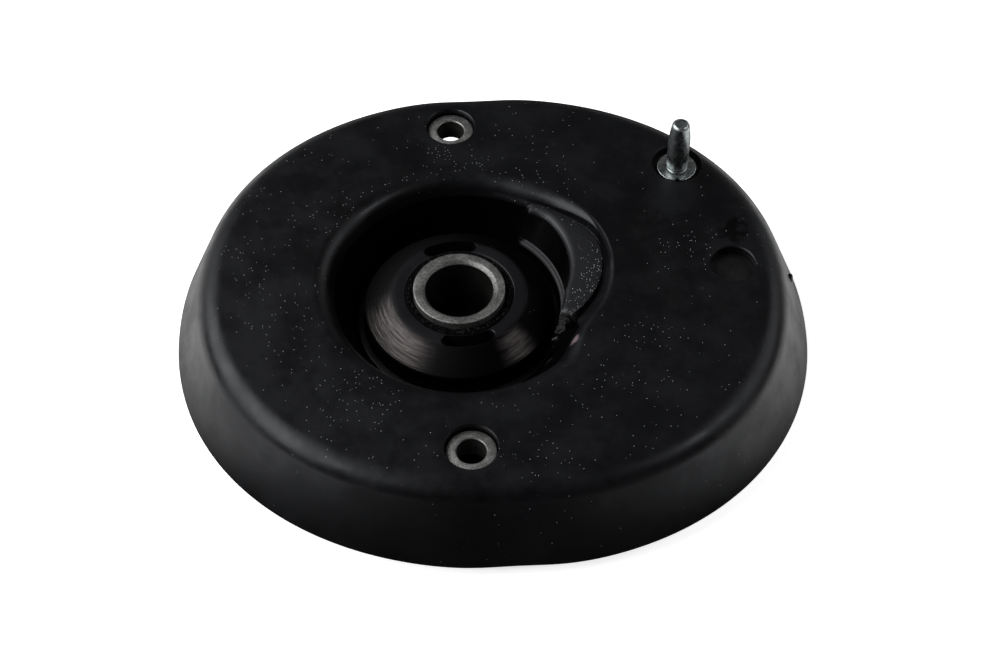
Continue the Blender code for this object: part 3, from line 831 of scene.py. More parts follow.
@dataclass(frozen=True)
class BushRubberFinish:
    """Bonded rubber of the bush: a turned dome with a painted sheen, its lit side painted lighter
    and painted shade under its edge, and a rough collar.
    """

    dark: Colour = (0.0012, 0.0012, 0.0013)
    # Painted light: the lighter tone of the dome's lit left side
    lighter_tone: Colour = (0.0050, 0.0050, 0.0054)
    plateau: Colour = (0.0045, 0.0046, 0.0060)
    # Painted sheen: a lighter pinkish tone where the flank's highlights fall
    painted_sheen: Colour = (0.0095, 0.0080, 0.0080)
    collar: Colour = (0.0008, 0.0008, 0.0009)
    bronze: Colour = (1.0, 0.91, 0.88)
    dust: Colour = (0.05, 0.05, 0.05)

    # Sectors of the dome where a sheen is painted into the colour, with more gloss: angles from +X
    # and soft edge
    left_sheen: Limits = (-2.98, -2.05, 0.28)
    right_sheen: Limits = (-0.98, -0.66, 0.14)

    # Over what width the collar ends inside its radius, and the flank begins about its own
    collar_end: float = 0.3 * MM
    flank_start: Point = (-1.6 * MM, 0.8 * MM)

    # How far the fade of the painted light on the dome's lit side reaches to either side of the
    # axis
    lit_side_reach: float = 16.0 * MM

    # Gloss of the plateau, of the flank on its shaded side and on its lit side, and of the painted
    # sheen
    plateau_gloss: float = 0.30
    flank_gloss: Point = (0.012, 0.07)
    sheen_gloss: float = 0.6

    # Share of the gloss that the collar and the painted shade under the dome's edge keep
    matte_share: float = 0.1
    matte: float = 0.68

    def material(self, axis: Vector, collar_radius: float, plateau_radius: float,
                 edge_height: float) -> Material:
        """Make the finish.

        Args:
            axis: Point on the bush's axis.
            collar_radius: Radius of the collar round the sleeve.
            plateau_radius: Radius where the dome turns down.
            edge_height: Height of the dome's outer edge, under which shade is painted.

        Returns:
            The material.
        """
        tree = Tree("bush_rubber")
        place = tree.coordinates(axis)
        x, y, height = tree.parts(place)
        out, turn = tree.radius(place), tree.calc("ARCTAN2", y, x)
        clouds = tree.noise(place, 70.0, 3.0)
        streaks = tree.noise(tree.swirl(place, 1500.0, 2.5), 1.0, 3.0, 0.6)
        on_collar = tree.fade(out, collar_radius - self.collar_end, collar_radius)
        on_flank = tree.step(out, *(plateau_radius + start for start in self.flank_start))
        # Painted shade: the rubber under the dome's edge, where no light gets, is painted dark and
        # dull
        painted_shade_under_edge = tree.fade(height, edge_height - 0.7 * MM, edge_height - 0.1 * MM)
        # Painted light: the dome's left side is painted lighter than its right
        lit_side = tree.fade(x, -self.lit_side_reach, self.lit_side_reach)
        # Painted sheen: lighter colour and more gloss in two sectors of the flank where the
        # highlights fall, broken up by clouds and turned streaks
        painted_sheen_share = tree.times(
            tree.highest(tree.band(turn, *self.left_sheen), tree.band(turn, *self.right_sheen)),
            on_flank,
            tree.step(clouds, 0.3, 0.6, 0.3, 1.0),
            tree.step(streaks, 0.3, 0.7, 0.15, 1.0),
        )
        dots = tree.specks(place, 0.7 * MM, 0.22 * MM, tree.ease(on_collar, 0.008, 0.7))
        colour = tree.mix(on_flank, self.plateau, tree.mix(lit_side, self.dark, self.lighter_tone))
        tones = (
            (painted_sheen_share, self.painted_sheen),
            (on_collar, self.collar),
            (dots, self.dust),
            (painted_shade_under_edge, self.dark),
        )
        for share, tone in tones:
            colour = tree.mix(share, colour, tone)
        flank_gloss = tree.ease(lit_side, *self.flank_gloss)
        gloss = tree.ease(on_flank, self.plateau_gloss, flank_gloss)
        gloss = tree.calc("ADD", gloss, tree.times(painted_sheen_share, self.sheen_gloss))
        gloss = tree.times(gloss, tree.ease(tree.highest(painted_shade_under_edge, on_collar), 1.0, self.matte_share))
        tint = tree.mix(on_flank, (1.0, 1.0, 1.0), self.bronze)
        roughness = tree.step(clouds, 0.3, 0.7, 0.30, 0.40)
        roughness = tree.highest(roughness, tree.times(on_collar, self.matte))
        normal = tree.relief(tree.times(streaks, tree.ease(on_flank, 0.12, 1.0)), 0.14 * MM)
        crumbs = tree.times(tree.noise(place, 1100.0, 3.0, 0.7), on_collar)
        normal = tree.relief(crumbs, 0.45 * MM, normal)
        normal = tree.relief(tree.noise(place, 500.0, 3.0), 0.02 * MM, normal)
        return tree.dress(colour, roughness, normal, gloss, tint)


@dataclass(frozen=True)
class CoatedSteelFinish:
    """Pressed steel under a thin black coating with a faint orange peel and small chips."""

    coat: Colour = (0.0030, 0.0030, 0.0034)
    worn: Colour = (0.0085, 0.0083, 0.0080)

    def material(self) -> Material:
        """Make the finish."""
        tree = Tree("black_coated_steel", specular=0.28)
        place = tree.coordinates()
        wear = tree.step(tree.noise(place, 90.0, 5.0, 0.7), 0.56, 0.72)
        colour = tree.mix(wear, self.coat, self.worn)
        roughness = tree.step(tree.noise(place, 140.0), 0.3, 0.7, 0.36, 0.52)
        normal = tree.relief(tree.noise(place, 420.0, 2.0), 0.03 * MM)
        return tree.dress(colour, roughness, normal)


@dataclass(frozen=True)
class GreySteelFinish:
    """Bare grey steel: fine grained, speckled on its faces and smoother in its bores, which are
    painted darker as shade.
    """

    name: str
    dark: Colour
    pale: Colour
    # Painted shade: the darker colour inside the bore
    bore: Colour
    metallic: float = 0.9

    def material(self, axis: Vector, bore_radius: float) -> Material:
        """Make the finish.

        Args:
            axis: Point on the piece's axis.
            bore_radius: Radius within which the surface is the bore.

        Returns:
            The material.
        """
        tree = Tree(self.name, metallic=self.metallic)
        place = tree.coordinates(axis)
        in_bore = tree.fade(tree.radius(place), bore_radius, bore_radius + 0.25 * MM)
        speckle = tree.noise(place, 1900.0, 3.0, 0.75)
        stains = tree.noise(place, 210.0, 4.0, 0.6)
        share = tree.times(tree.step(speckle, 0.36, 0.66, 0.15, 1.0),
                           tree.step(stains, 0.3, 0.6, 0.55, 1.0))
        colour = tree.mix(share, self.dark, self.pale)
        # Painted shade: the bore takes the darker bore colour
        colour = tree.mix(in_bore, colour, self.bore)
        roughness = tree.step(stains, 0.3, 0.7, 0.44, 0.6)
        roughness = tree.calc("SUBTRACT", roughness, tree.times(in_bore, 0.12))
        lathe = tree.noise(tree.swirl(place, 3000.0, 2.0), 1.0, 2.0)
        normal = tree.relief(lathe, 0.015 * MM)
        normal = tree.relief(speckle, 0.035 * MM, normal)
        return tree.dress(colour, roughness, normal)


@dataclass(frozen=True)
class ZincFinish:
    """Zinc plating: bright, cool and satin, with faint bands from the forming."""

    pale: Colour = (0.40, 0.43, 0.43)
    dull: Colour = (0.21, 0.23, 0.23)

    def material(self, axis: Vector) -> Material:
        """Make the finish about an upright axis."""
        tree = Tree("zinc_plating", metallic=1.0)
        place = tree.coordinates(axis)
        clouds = tree.noise(place, 380.0, 4.0, 0.65)
        colour = tree.mix(tree.step(clouds, 0.35, 0.7), self.pale, self.dull)
        roughness = tree.step(tree.noise(place, 900.0, 3.0), 0.3, 0.7, 0.24, 0.4)
        bands = tree.noise(tree.swirl(place, 2400.0, 1.5), 1.0, 2.0)
        normal = tree.relief(bands, 0.012 * MM)
        normal = tree.relief(tree.noise(place, 1600.0, 2.0), 0.012 * MM, normal)
        return tree.dress(colour, roughness, normal)


@dataclass(frozen=True)
class Outline:
    """Outline of the dish at its rim: a squarish oval, a little flatter at both nuts."""

    length: float = 207.4 * MM
    width: float = 188.2 * MM
    squareness: float = 2.12
    turn: float = math.radians(1.2)
    flat_depth: float = 1.0 * MM
    flat_turn: float = math.radians(95.5)
    flat_spread: float = math.radians(8.0)

    def radius(self, turn: float) -> float:
        """Give the rim's distance from the dish's middle in one direction."""
        along = abs(math.cos(turn - self.turn)) / (self.length / 2)
        across = abs(math.sin(turn - self.turn)) / (self.width / 2)
        radius = (along ** self.squareness + across ** self.squareness) ** (-1 / self.squareness)
        off_flat = math.remainder(turn - self.flat_turn, math.pi)
        return radius - self.flat_depth * math.exp(-(off_flat / self.flat_spread) ** 2)

    def ring(self, inset: float, height: float, sides: int) -> list[Vector]:
        """Follow the outline, moved inwards square to it.

        Args:
            inset: How far inside the rim the ring runs.
            height: Height of the ring.
            sides: Number of places on it.

        Returns:
            The places.
        """
        reach = math.radians(0.5)
        ring = []
        for turn in turns(sides):
            before = unit(turn - reach) * self.radius(turn - reach)
            after = unit(turn + reach) * self.radius(turn + reach)
            along = (after - before).normalized()
            inwards = Vector((-along.y, along.x, 0.0))
            ring.append(unit(turn) * self.radius(turn) + inwards * inset + Vector((0, 0, height)))
        return ring


@dataclass(frozen=True)
class Dish:
    """Section of the dish's flank and shoulder, shared by the rubber and the steel under it."""

    outline: Outline
    foot: float
    top: float
    shoulder_radius: float = 8.5 * MM
    flare: float = math.radians(22.0)
    guard: float = 0.6 * MM
    rubber_wall: float = 3.0 * MM
    steel_wall: float = 2.5 * MM
    steel_foot_rise: float = 4.0 * MM

    def section(self, wall: float, foot_rise: float, steps: int) -> list[Point]:
        """Give the line of one surface, from the flank's foot to the flat top.

        Args:
            wall: How far the surface lies inside the rubber's outside.
            foot_rise: How far its foot stands above the rim's foot.
            steps: Steps of the shoulder's arc.

        Returns:
            Inset and height of each point.
        """
        centre_height = self.top - self.shoulder_radius
        rise = centre_height + self.shoulder_radius * math.sin(self.flare) - self.foot
        centre_inset = rise * math.tan(self.flare) + self.shoulder_radius * math.cos(self.flare)
        shoulder = arc((centre_inset, centre_height), self.shoulder_radius - wall,
                       math.pi - self.flare, math.pi / 2, steps)
        foot_inset = foot_rise * math.tan(self.flare) + wall / math.cos(self.flare)
        return [(foot_inset, self.foot + foot_rise)] + shoulder

    def rings(self, wall: float, foot_rise: float, steps: int, sides: int) -> list[list[Vector]]:
        """Give the rings of one surface, with a last one that keeps the flat top flat."""
        section = self.section(wall, foot_rise, steps)
        section.append((section[-1][0] + self.guard, section[-1][1]))
        return [self.outline.ring(inset, height, sides) for inset, height in section]


@dataclass(frozen=True)
class Neck:
    """Cone that the steel forms behind the pocket's rubber, down to the bush's seat."""

    axis: Vector
    top: float
    shift: Point = (3.0 * MM, -1.0 * MM)
    mouth_radius: float = 52.0 * MM
    floor_radius: float = 37.3 * MM
    mouth_depth: float = 3.0 * MM
    floor_depth: float = 22.0 * MM
    bend: float = 3.2 * MM
    bend_steps: int = 6

    @property
    def slant(self) -> float:
        """Give the cone's angle from upright."""
        across = self.mouth_radius - self.floor_radius
        return math.atan2(across, self.floor_depth - self.mouth_depth)

    def round_ring(self, radius: float, height: float, sides: int) -> list[Vector]:
        """Give a plain ring about the axis."""
        return [self.axis + unit(turn) * radius + Vector((0, 0, height)) for turn in turns(sides)]

    def ring(self, depth: float, extra: float, sides: int) -> list[Vector]:
        """Give a ring on the cone, or `extra` outside it, at a depth under the top."""
        share = (depth - self.mouth_depth) / (self.floor_depth - self.mouth_depth)
        radius = self.mouth_radius * (1 - share) + self.floor_radius * share + extra
        shift = (self.shift[0] * (1 - share), self.shift[1] * (1 - share))
        up = Vector((0, 0, self.top - depth))
        rays = [(turn, ray_to_circle(turn, shift, radius)) for turn in turns(sides)]
        return [self.axis + unit(turn) * reach + up for turn, reach in rays]

    def bend_rings(self, extra: float, depth: float, sides: int) -> list[list[Vector]]:
        """Give the bend from a surface under the flat top into the cone, cone first."""
        bend = arc((self.bend, self.bend), self.bend, math.pi, math.pi * 1.5, self.bend_steps)
        return [self.ring(depth + down, extra + across, sides) for across, down in bend]


@dataclass(frozen=True)
class Pocket:
    """Moulded pocket round the bush: a rounded lip, a plain wall and a stepped buffer."""

    axis: Vector
    top: float
    depth: float = 22.0 * MM
    floor_radius: float = 34.0 * MM
    lip_shift: Point = (1.8 * MM, -2.3 * MM)
    lip_radius: float = 48.6 * MM
    lip_rounding: float = 6.0 * MM
    lip_steps: int = 12
    guard: float = 0.6 * MM
    recess_shift: Point = (12.2 * MM, 4.7 * MM)
    recess_radius: float = 38.3 * MM
    recess_rounding: float = 2.4 * MM
    recess_start: float = math.radians(-33.0)
    recess_end: float = math.radians(59.0)
    recess_run_out: float = math.radians(26.0)
    tight_end: float = math.radians(35.0)
    ledge_depth: float = 4.5 * MM
    ledge_inner_shift: Point = (2.7 * MM, 9.6 * MM)
    ledge_inner_radius: float = 34.9 * MM
    ledge_outer_shift: Point = (16.7 * MM, 10.15 * MM)
    ledge_outer_radius: float = 30.0 * MM
    ledge_start: float = math.radians(-20.5)
    ledge_edge: float = 1.6 * MM
    shelf_depth: float = 14.3 * MM
    shelf_radius: float = 33.6 * MM
    shelf_width: float = 1.2 * MM
    shelf_start: float = math.radians(-28.0)
    steps_end: float = math.radians(57.0)
    step_run_out: float = math.radians(4.0)
    step_draft: float = 0.5 * MM
    groove_width: float = 0.6 * MM
    groove_depth: float = 0.3 * MM
    groove_flare_start: float = math.radians(14.0)
    groove_flare_depth: float = 2.5 * MM

    # Reach of the rounding at each corner down the wall, from the groove to the shelf's edge
    reaches: tuple[float, ...] = (0.5 * MM, 0.5 * MM, 0.6 * MM, 1.9 * MM, 0.5 * MM, 1.3 * MM)

    # Where the same corners lie on the plain wall, from the ledge's height to the floor
    wall_shares: tuple[float, ...] = (0.02, 0.08, 0.14, 0.24, 0.55, 0.66)

    # How many of them belong to the ledge; the others belong to the shelf
    ledge_corners: int = 4

    def lip(self, turn: float, share: float) -> Point:
        """Give the radius and depth on the rounded lip, which runs out smoothly into the wall.

        Args:
            turn: Direction from the axis.
            share: How far down the lip, 0 at the flat top and 1 where the wall begins.

        Returns:
            Radius and depth.
        """
        recessed = window(self.recess_start, self.recess_end, self.recess_run_out, turn)
        tight = window(self.recess_start, self.tight_end, self.recess_run_out, turn)
        rounding = self.lip_rounding * (1 - tight) + self.recess_rounding * tight
        plain = ray_to_circle(turn, self.lip_shift, self.lip_radius)
        recess = ray_to_circle(turn, self.recess_shift, self.recess_radius)
        flat_edge = plain * (1 - recessed) + recess * recessed
        across = flat_edge - self.floor_radius
        down = self.depth - rounding
        angle = (math.atan2(down, across) + math.asin(rounding / math.hypot(across, down))) * share
        return flat_edge - rounding * math.sin(angle), rounding * (1 - math.cos(angle))

    def wall(self, turn: float, depth: float) -> Point:
        """Give the radius and depth on the plain wall."""
        lip_radius, lip_depth = self.lip(turn, 1.0)
        share = (depth - lip_depth) / (self.depth - lip_depth)
        return lip_radius * (1 - share) + self.floor_radius * share, depth

    def stepped(self, turn: float) -> list[Point]:
        """Give the corners down the stepped side, from the groove to the shelf's edge."""
        flare = between(self.groove_flare_start, self.ledge_start, turn)
        groove_depth = self.ledge_depth + self.groove_depth + self.groove_flare_depth * flare
        outer = ray_to_circle(turn, self.ledge_outer_shift, self.ledge_outer_radius)
        outer = min(outer, self.lip(turn, 1.0)[0] - self.groove_width)
        inner = ray_to_circle(turn, self.ledge_inner_shift, self.ledge_inner_radius)
        inner = min(inner, outer - self.step_draft)
        block = max(inner - self.ledge_edge, self.shelf_radius + self.step_draft)
        foot = min(self.shelf_radius + self.shelf_width, block - self.step_draft / 2)
        return [
            (outer + self.groove_width, groove_depth),
            (outer + self.step_draft / 2, groove_depth),
            (outer, self.ledge_depth),
            (block + self.step_draft / 2, self.ledge_depth),
            (foot, self.shelf_depth),
            (self.shelf_radius - self.step_draft, self.shelf_depth),
        ]

    def plain(self, turn: float) -> list[Point]:
        """Give as many corners down the plain wall."""
        drop = self.depth - self.ledge_depth
        return [self.wall(turn, self.ledge_depth + drop * share) for share in self.wall_shares]

    def section(self, turn: float) -> list[Point]:
        """Give the line down the pocket in one direction.

        Args:
            turn: Direction from the axis.

        Returns:
            Radius and depth of each point, from the flat top to the pocket's floor.
        """
        turn = math.remainder(turn, math.tau)
        line = [self.lip(turn, i / self.lip_steps) for i in range(self.lip_steps + 1)]
        line.insert(0, (line[0][0] + self.guard, 0.0))
        corners: list[Corner] = [(*line[-1], 0.0)]
        for row, (plain, stepped) in enumerate(zip(self.plain(turn), self.stepped(turn))):
            start = self.ledge_start if row < self.ledge_corners else self.shelf_start
            share = window(start, self.steps_end, self.step_run_out, turn)
            radius = plain[0] * (1 - share) + stepped[0] * share
            depth = plain[1] * (1 - share) + stepped[1] * share
            corners.append((radius, depth, self.reaches[row]))
        corners.append((self.floor_radius, self.depth, 0.0))
        return line + softened(corners)[1:]

    def rings(self, sides: int) -> list[list[Vector]]:
        """Give the rings of the pocket's surface, from the flat top down."""
        sections = [self.section(turn) for turn in turns(sides)]
        rings = []
        for points in zip(*sections):
            ring = []
            for turn, (radius, depth) in zip(turns(sides), points):
                ring.append(self.axis + unit(turn) * radius + Vector((0, 0, self.top - depth)))
            rings.append(ring)
        return rings


@dataclass(frozen=True)
class Opening:
    """Round opening in the dish's flat top, with a small chamfer at its mouth."""

    centre: Vector
    radius: float
    chamfer: float = 0.35 * MM

    def cutter(self, bottom: float, top: float) -> Shape:
        """Make the shape that cuts it, from a height inside the dish up to the flat top."""
        profile = [
            (0.0, bottom),
            (self.radius, bottom),
            (self.radius, top - self.chamfer),
            (self.radius + self.chamfer, top),
            (self.radius + self.chamfer + CUT_OVERRUN, top + CUT_OVERRUN),
            (0.0, top + CUT_OVERRUN),
        ]
        return turned(profile, self.centre, Detail.SMALL.value, closed=False)


@dataclass
class RubberCover:
    """Moulded rubber cover of the dish, with its pocket, recesses and a nib of flash."""

    dish: Dish
    neck: Neck
    pocket: Pocket
    openings: list[Opening]
    rim_edge: float = 1.8 * MM
    rim_rounding: float = 0.5 * MM
    shoulder_steps: int = 16
    inner_shoulder_steps: int = 6
    nib_turn: float = math.radians(7.0)
    nib_height: float = 18.5 * MM
    nib_sink: float = 0.2 * MM
    nib_size: tuple[float, float, float] = (2.0 * MM, 2.4 * MM, 5.0 * MM)
    ejector_mark: Point = (30.2 * MM, 18.1 * MM)
    ejector_mark_radius: float = 2.4 * MM
    finish: CoverRubberFinish = CoverRubberFinish()

    def rim(self) -> list[list[Vector]]:
        """Give the rings round the rim's softened edge, from inside the flank to its outside."""
        foot_rise = self.dish.steel_foot_rise - SEAT_GAP
        inner = self.dish.section(self.dish.rubber_wall, foot_rise, 1)[0]
        outer = self.dish.section(0.0, 0.0, 1)[1]
        corners = [
            (*inner, 0.0),
            (self.rim_edge, self.dish.foot, self.rim_rounding),
            (0.0, self.dish.foot, self.rim_rounding),
            (*outer, 0.0),
        ]
        line = softened(corners)[1:-1]
        return [self.dish.outline.ring(inset, height, Detail.DISH.value) for inset, height in line]

    def nib(self) -> Shape:
        """Make the nib of flash that the mould left on the flank."""
        shape = bmesh.new()
        bmesh.ops.create_icosphere(shape, subdivisions=3, radius=0.5)
        bmesh.ops.scale(shape, vec=self.nib_size, verts=shape.verts)
        flank = self.dish.outline.radius(self.nib_turn)
        inset = (self.nib_height - self.dish.foot) * math.tan(self.dish.flare)
        out = flank - inset - self.nib_sink
        place = unit(self.nib_turn) * out + Vector((0, 0, self.nib_height))
        turn = Matrix.Rotation(self.nib_turn, 4, "Z")
        bmesh.ops.transform(shape, matrix=Matrix.Translation(place) @ turn, verts=shape.verts)
        return shape

    def build(self) -> Piece:
        """Build the cover, with its openings, its nib and its finish."""
        dish, sides = self.dish, Detail.DISH.value
        wall, foot_rise = dish.rubber_wall, dish.steel_foot_rise - SEAT_GAP
        rings = self.rim()
        rings += dish.rings(0.0, 0.0, self.shoulder_steps, sides)[1:]
        rings += self.pocket.rings(sides)
        rings.append(self.neck.ring(self.pocket.depth, 0.0, sides))
        rings += self.neck.bend_rings(0.0, wall, sides)
        rings += reversed(dish.rings(wall, foot_rise, self.inner_shoulder_steps, sides))
        bottom = dish.top - wall - SEAT_GAP - dish.steel_wall
        cutters = [opening.cutter(bottom, dish.top) for opening in self.openings]
        piece = carved("cover", skin(rings), cutters, [self.nib()])
        mark = Vector((*self.ejector_mark, dish.top - self.pocket.ledge_depth))
        material = self.finish.material(self.pocket, [(mark, self.ejector_mark_radius)])
        return dressed(piece, material, "rubber_cover")


@dataclass
class SteelCarrier:
    """Pressed steel carrier: flank, deck, and a neck that ends in the bush's seat."""

    dish: Dish
    neck: Neck
    holes: list[Opening]
    seat_radius: float = 34.0 * MM
    foot_opening_radius: float = 27.0 * MM
    foot_corner: float = 2.2 * MM
    shoulder_steps: int = 12
    finish: CoatedSteelFinish = CoatedSteelFinish()

    def seat_rings(self, sides: int) -> list[list[Vector]]:
        """Give the rings from inside the cone's foot, round the neck's foot, to its outside."""
        wall = self.dish.steel_wall
        seat_height = self.neck.top - self.neck.floor_depth - SEAT_GAP
        tube_radius = self.seat_radius + wall
        corners = [
            (self.seat_radius, seat_height, 0.0),
            (self.seat_radius, wall, 0.6 * MM),
            (self.foot_opening_radius, wall, 0.4 * MM),
            (self.foot_opening_radius, 0.0, 0.4 * MM),
            (tube_radius, 0.0, self.foot_corner),
            (tube_radius, seat_height - wall, 0.0),
        ]
        return [self.neck.round_ring(radius, height, sides) for radius, height in softened(corners)]

    def build(self) -> Piece:
        """Build the carrier, with its holes and its finish."""
        dish, neck, sides = self.dish, self.neck, Detail.CARRIER.value
        wall, foot_rise = dish.steel_wall, dish.steel_foot_rise
        outside = dish.rubber_wall + SEAT_GAP
        inside = outside + wall
        inner = SEAT_GAP / math.cos(neck.slant)
        outer = (SEAT_GAP + wall) / math.cos(neck.slant)
        seat_depth = neck.floor_depth + SEAT_GAP
        rings = dish.rings(outside, foot_rise, self.shoulder_steps, sides)
        rings += reversed(neck.bend_rings(inner, outside, sides))
        rings.append(neck.ring(seat_depth, inner, sides))
        rings += self.seat_rings(sides)
        rings.append(neck.ring(seat_depth + wall, outer, sides))
        rings += neck.bend_rings(outer, inside, sides)
        rings += reversed(dish.rings(inside, foot_rise, self.shoulder_steps, sides))
        deck = dish.top - outside
        cutters = [hole.cutter(deck - wall - CUT_OVERRUN, deck) for hole in self.holes]
        piece = carved("carrier", skin(rings), cutters)
        return dressed(piece, self.finish.material(), "steel_carrier")


@dataclass
class Bush:
    """Bonded bush in the neck: outer ring, slotted rubber dome and inner sleeve."""

    axis: Vector
    ring_bottom: float
    ring_top: float
    sleeve_bottom: float
    sleeve_top: float
    ring_outer_radius: float = 33.7 * MM
    ring_wall: float = 2.5 * MM
    sleeve_radius: float = 15.0 * MM
    bore_radius: float = 11.05 * MM
    bore_chamfer: float = 1.3 * MM
    collar_drop: float = 2.2 * MM
    collar_radius: float = 17.7 * MM
    score_width: float = 0.6 * MM
    score_depth: float = 0.5 * MM
    plateau_radius: float = 22.3 * MM
    dome_drop: float = 5.8 * MM
    bead_height: float = 1.8 * MM
    bead_undercut: float = 1.0 * MM
    arch_height: float = 5.0 * MM
    arch_lip: float = 1.7 * MM
    slot_inner_radius: float = 18.1 * MM
    slot_width: float = 4.3 * MM
    slot_half_span: float = math.radians(19.0)
    slot_turn: float = math.radians(100.0)
    slot_flare: float = 0.25 * MM
    slot_edge_steps: int = 14
    slot_end_steps: int = 12
    arch_steps: int = 16
    rubber_finish: BushRubberFinish = BushRubberFinish()
    ring_finish: CoatedSteelFinish = CoatedSteelFinish()
    # Its bore colour is painted shade inside the sleeve
    sleeve_finish: GreySteelFinish = GreySteelFinish(
        "sleeve_steel", dark=(0.08, 0.08, 0.078), pale=(0.31, 0.31, 0.302),
        bore=(0.05, 0.05, 0.048))

    @property
    def collar_top(self) -> float:
        """Give the height of the rubber at the sleeve."""
        return self.sleeve_top - self.collar_drop

    def build_ring(self, material: Material) -> Piece:
        """Build the outer ring."""
        outer = self.ring_outer_radius
        inner = outer - self.ring_wall
        edge = 0.45 * MM
        corners = [
            (inner, self.ring_bottom, edge),
            (outer, self.ring_bottom, edge),
            (outer, self.ring_top, edge),
            (inner, self.ring_top, edge),
        ]
        shape = turned(softened(corners), self.axis, Detail.BUSH.value, closed=True)
        return dressed(shape_object("ring", shape), material, "bush_outer_ring")

    def rubber_profile(self) -> list[Point]:
        """Give the section of the bush's rubber, from the sleeve's foot round and back."""
        inner = self.sleeve_radius + SEAT_GAP
        outer = self.ring_outer_radius - self.ring_wall - SEAT_GAP
        dome_edge = self.collar_top - self.dome_drop
        bead_bottom = dome_edge - self.bead_height
        top = [
            (inner, self.ring_bottom, 0.0),
            (inner, self.collar_top, 0.3 * MM),
            (self.collar_radius - self.score_width / 2, self.collar_top, 0.2 * MM),
            (self.collar_radius, self.collar_top - self.score_depth, 0.1 * MM),
            (self.collar_radius + self.score_width / 2, self.collar_top, 0.2 * MM),
        ]
        top += [
            (self.plateau_radius, self.collar_top, 1.6 * MM),
            (outer, dome_edge, 0.45 * MM),
            (outer, bead_bottom, 0.6 * MM),
            (outer - self.bead_undercut, bead_bottom - self.bead_undercut, 0.6 * MM),
            (outer - self.bead_undercut, self.ring_top + self.bead_undercut, 0.6 * MM),
            (outer, self.ring_top, 0.4 * MM),
            (outer, self.ring_bottom, 0.4 * MM),
        ]
        profile = softened(top)
        arch_outer = outer - self.arch_lip
        arch_inner = inner + self.arch_lip
        for i in range(self.arch_steps + 1):
            share = i / self.arch_steps
            radius = arch_outer + (arch_inner - arch_outer) * share
            rise = self.arch_height * math.sin(math.pi * share)
            profile.append((radius, self.ring_bottom + rise))
        return profile

    def slot_cutter(self, turn: float) -> Shape:
        """Make the shape that cuts one kidney-shaped slot."""
        middle = self.slot_inner_radius + self.slot_width / 2
        outline = []
        for side, cap_start in ((1, 0.0), (-1, math.pi)):
            for i in range(1, self.slot_edge_steps):
                along = turn + side * self.slot_half_span * (2 * i / self.slot_edge_steps - 1)
                outline.append(unit(along) * (middle + side * self.slot_width / 2))
            heading = turn + side * self.slot_half_span
            for i in range(self.slot_end_steps + 1):
                around = heading + cap_start + math.pi * i / self.slot_end_steps
                outline.append(unit(heading) * middle + unit(around) * self.slot_width / 2)
        flare = self.slot_flare
        heights = [
            (self.ring_bottom - CUT_OVERRUN, 0.0),
            (self.collar_top - flare, 0.0),
            (self.collar_top, flare),
            (self.collar_top + CUT_OVERRUN, flare + CUT_OVERRUN),
        ]
        shape = pillar(outline, heights)
        bmesh.ops.translate(shape, verts=shape.verts, vec=self.axis)
        return shape

    def build_rubber(self) -> Piece:
        """Build the rubber."""
        shape = turned(self.rubber_profile(), self.axis, Detail.BUSH.value, closed=True)
        cutters = [self.slot_cutter(self.slot_turn), self.slot_cutter(self.slot_turn + math.pi)]
        material = self.rubber_finish.material(
            self.axis, self.collar_radius, self.plateau_radius, self.collar_top - self.dome_drop)
        return dressed(carved("dome", shape, cutters), material, "bush_rubber")

    def build_sleeve(self) -> Piece:
        """Build the inner sleeve, chamfered at both ends of its bore."""
        mouth = self.bore_radius + self.bore_chamfer
        corners = [
            (self.bore_radius, self.sleeve_bottom + self.bore_chamfer, 0.25 * MM),
            (mouth, self.sleeve_bottom, 0.2 * MM),
            (self.sleeve_radius, self.sleeve_bottom, 0.5 * MM),
            (self.sleeve_radius, self.sleeve_top, 0.5 * MM),
            (mouth, self.sleeve_top, 0.2 * MM),
            (self.bore_radius, self.sleeve_top - self.bore_chamfer, 0.25 * MM),
        ]
        shape = turned(softened(corners, steps=3), self.axis, Detail.BUSH.value, closed=True)
        material = self.sleeve_finish.material(self.axis, self.bore_radius)
        return dressed(shape_object("sleeve", shape), material, "inner_sleeve")

    def build(self) -> list[Piece]:
        """Build the three pieces of the bush."""
        ring = self.build_ring(self.ring_finish.material())
        return [ring, self.build_rubber(), self.build_sleeve()]


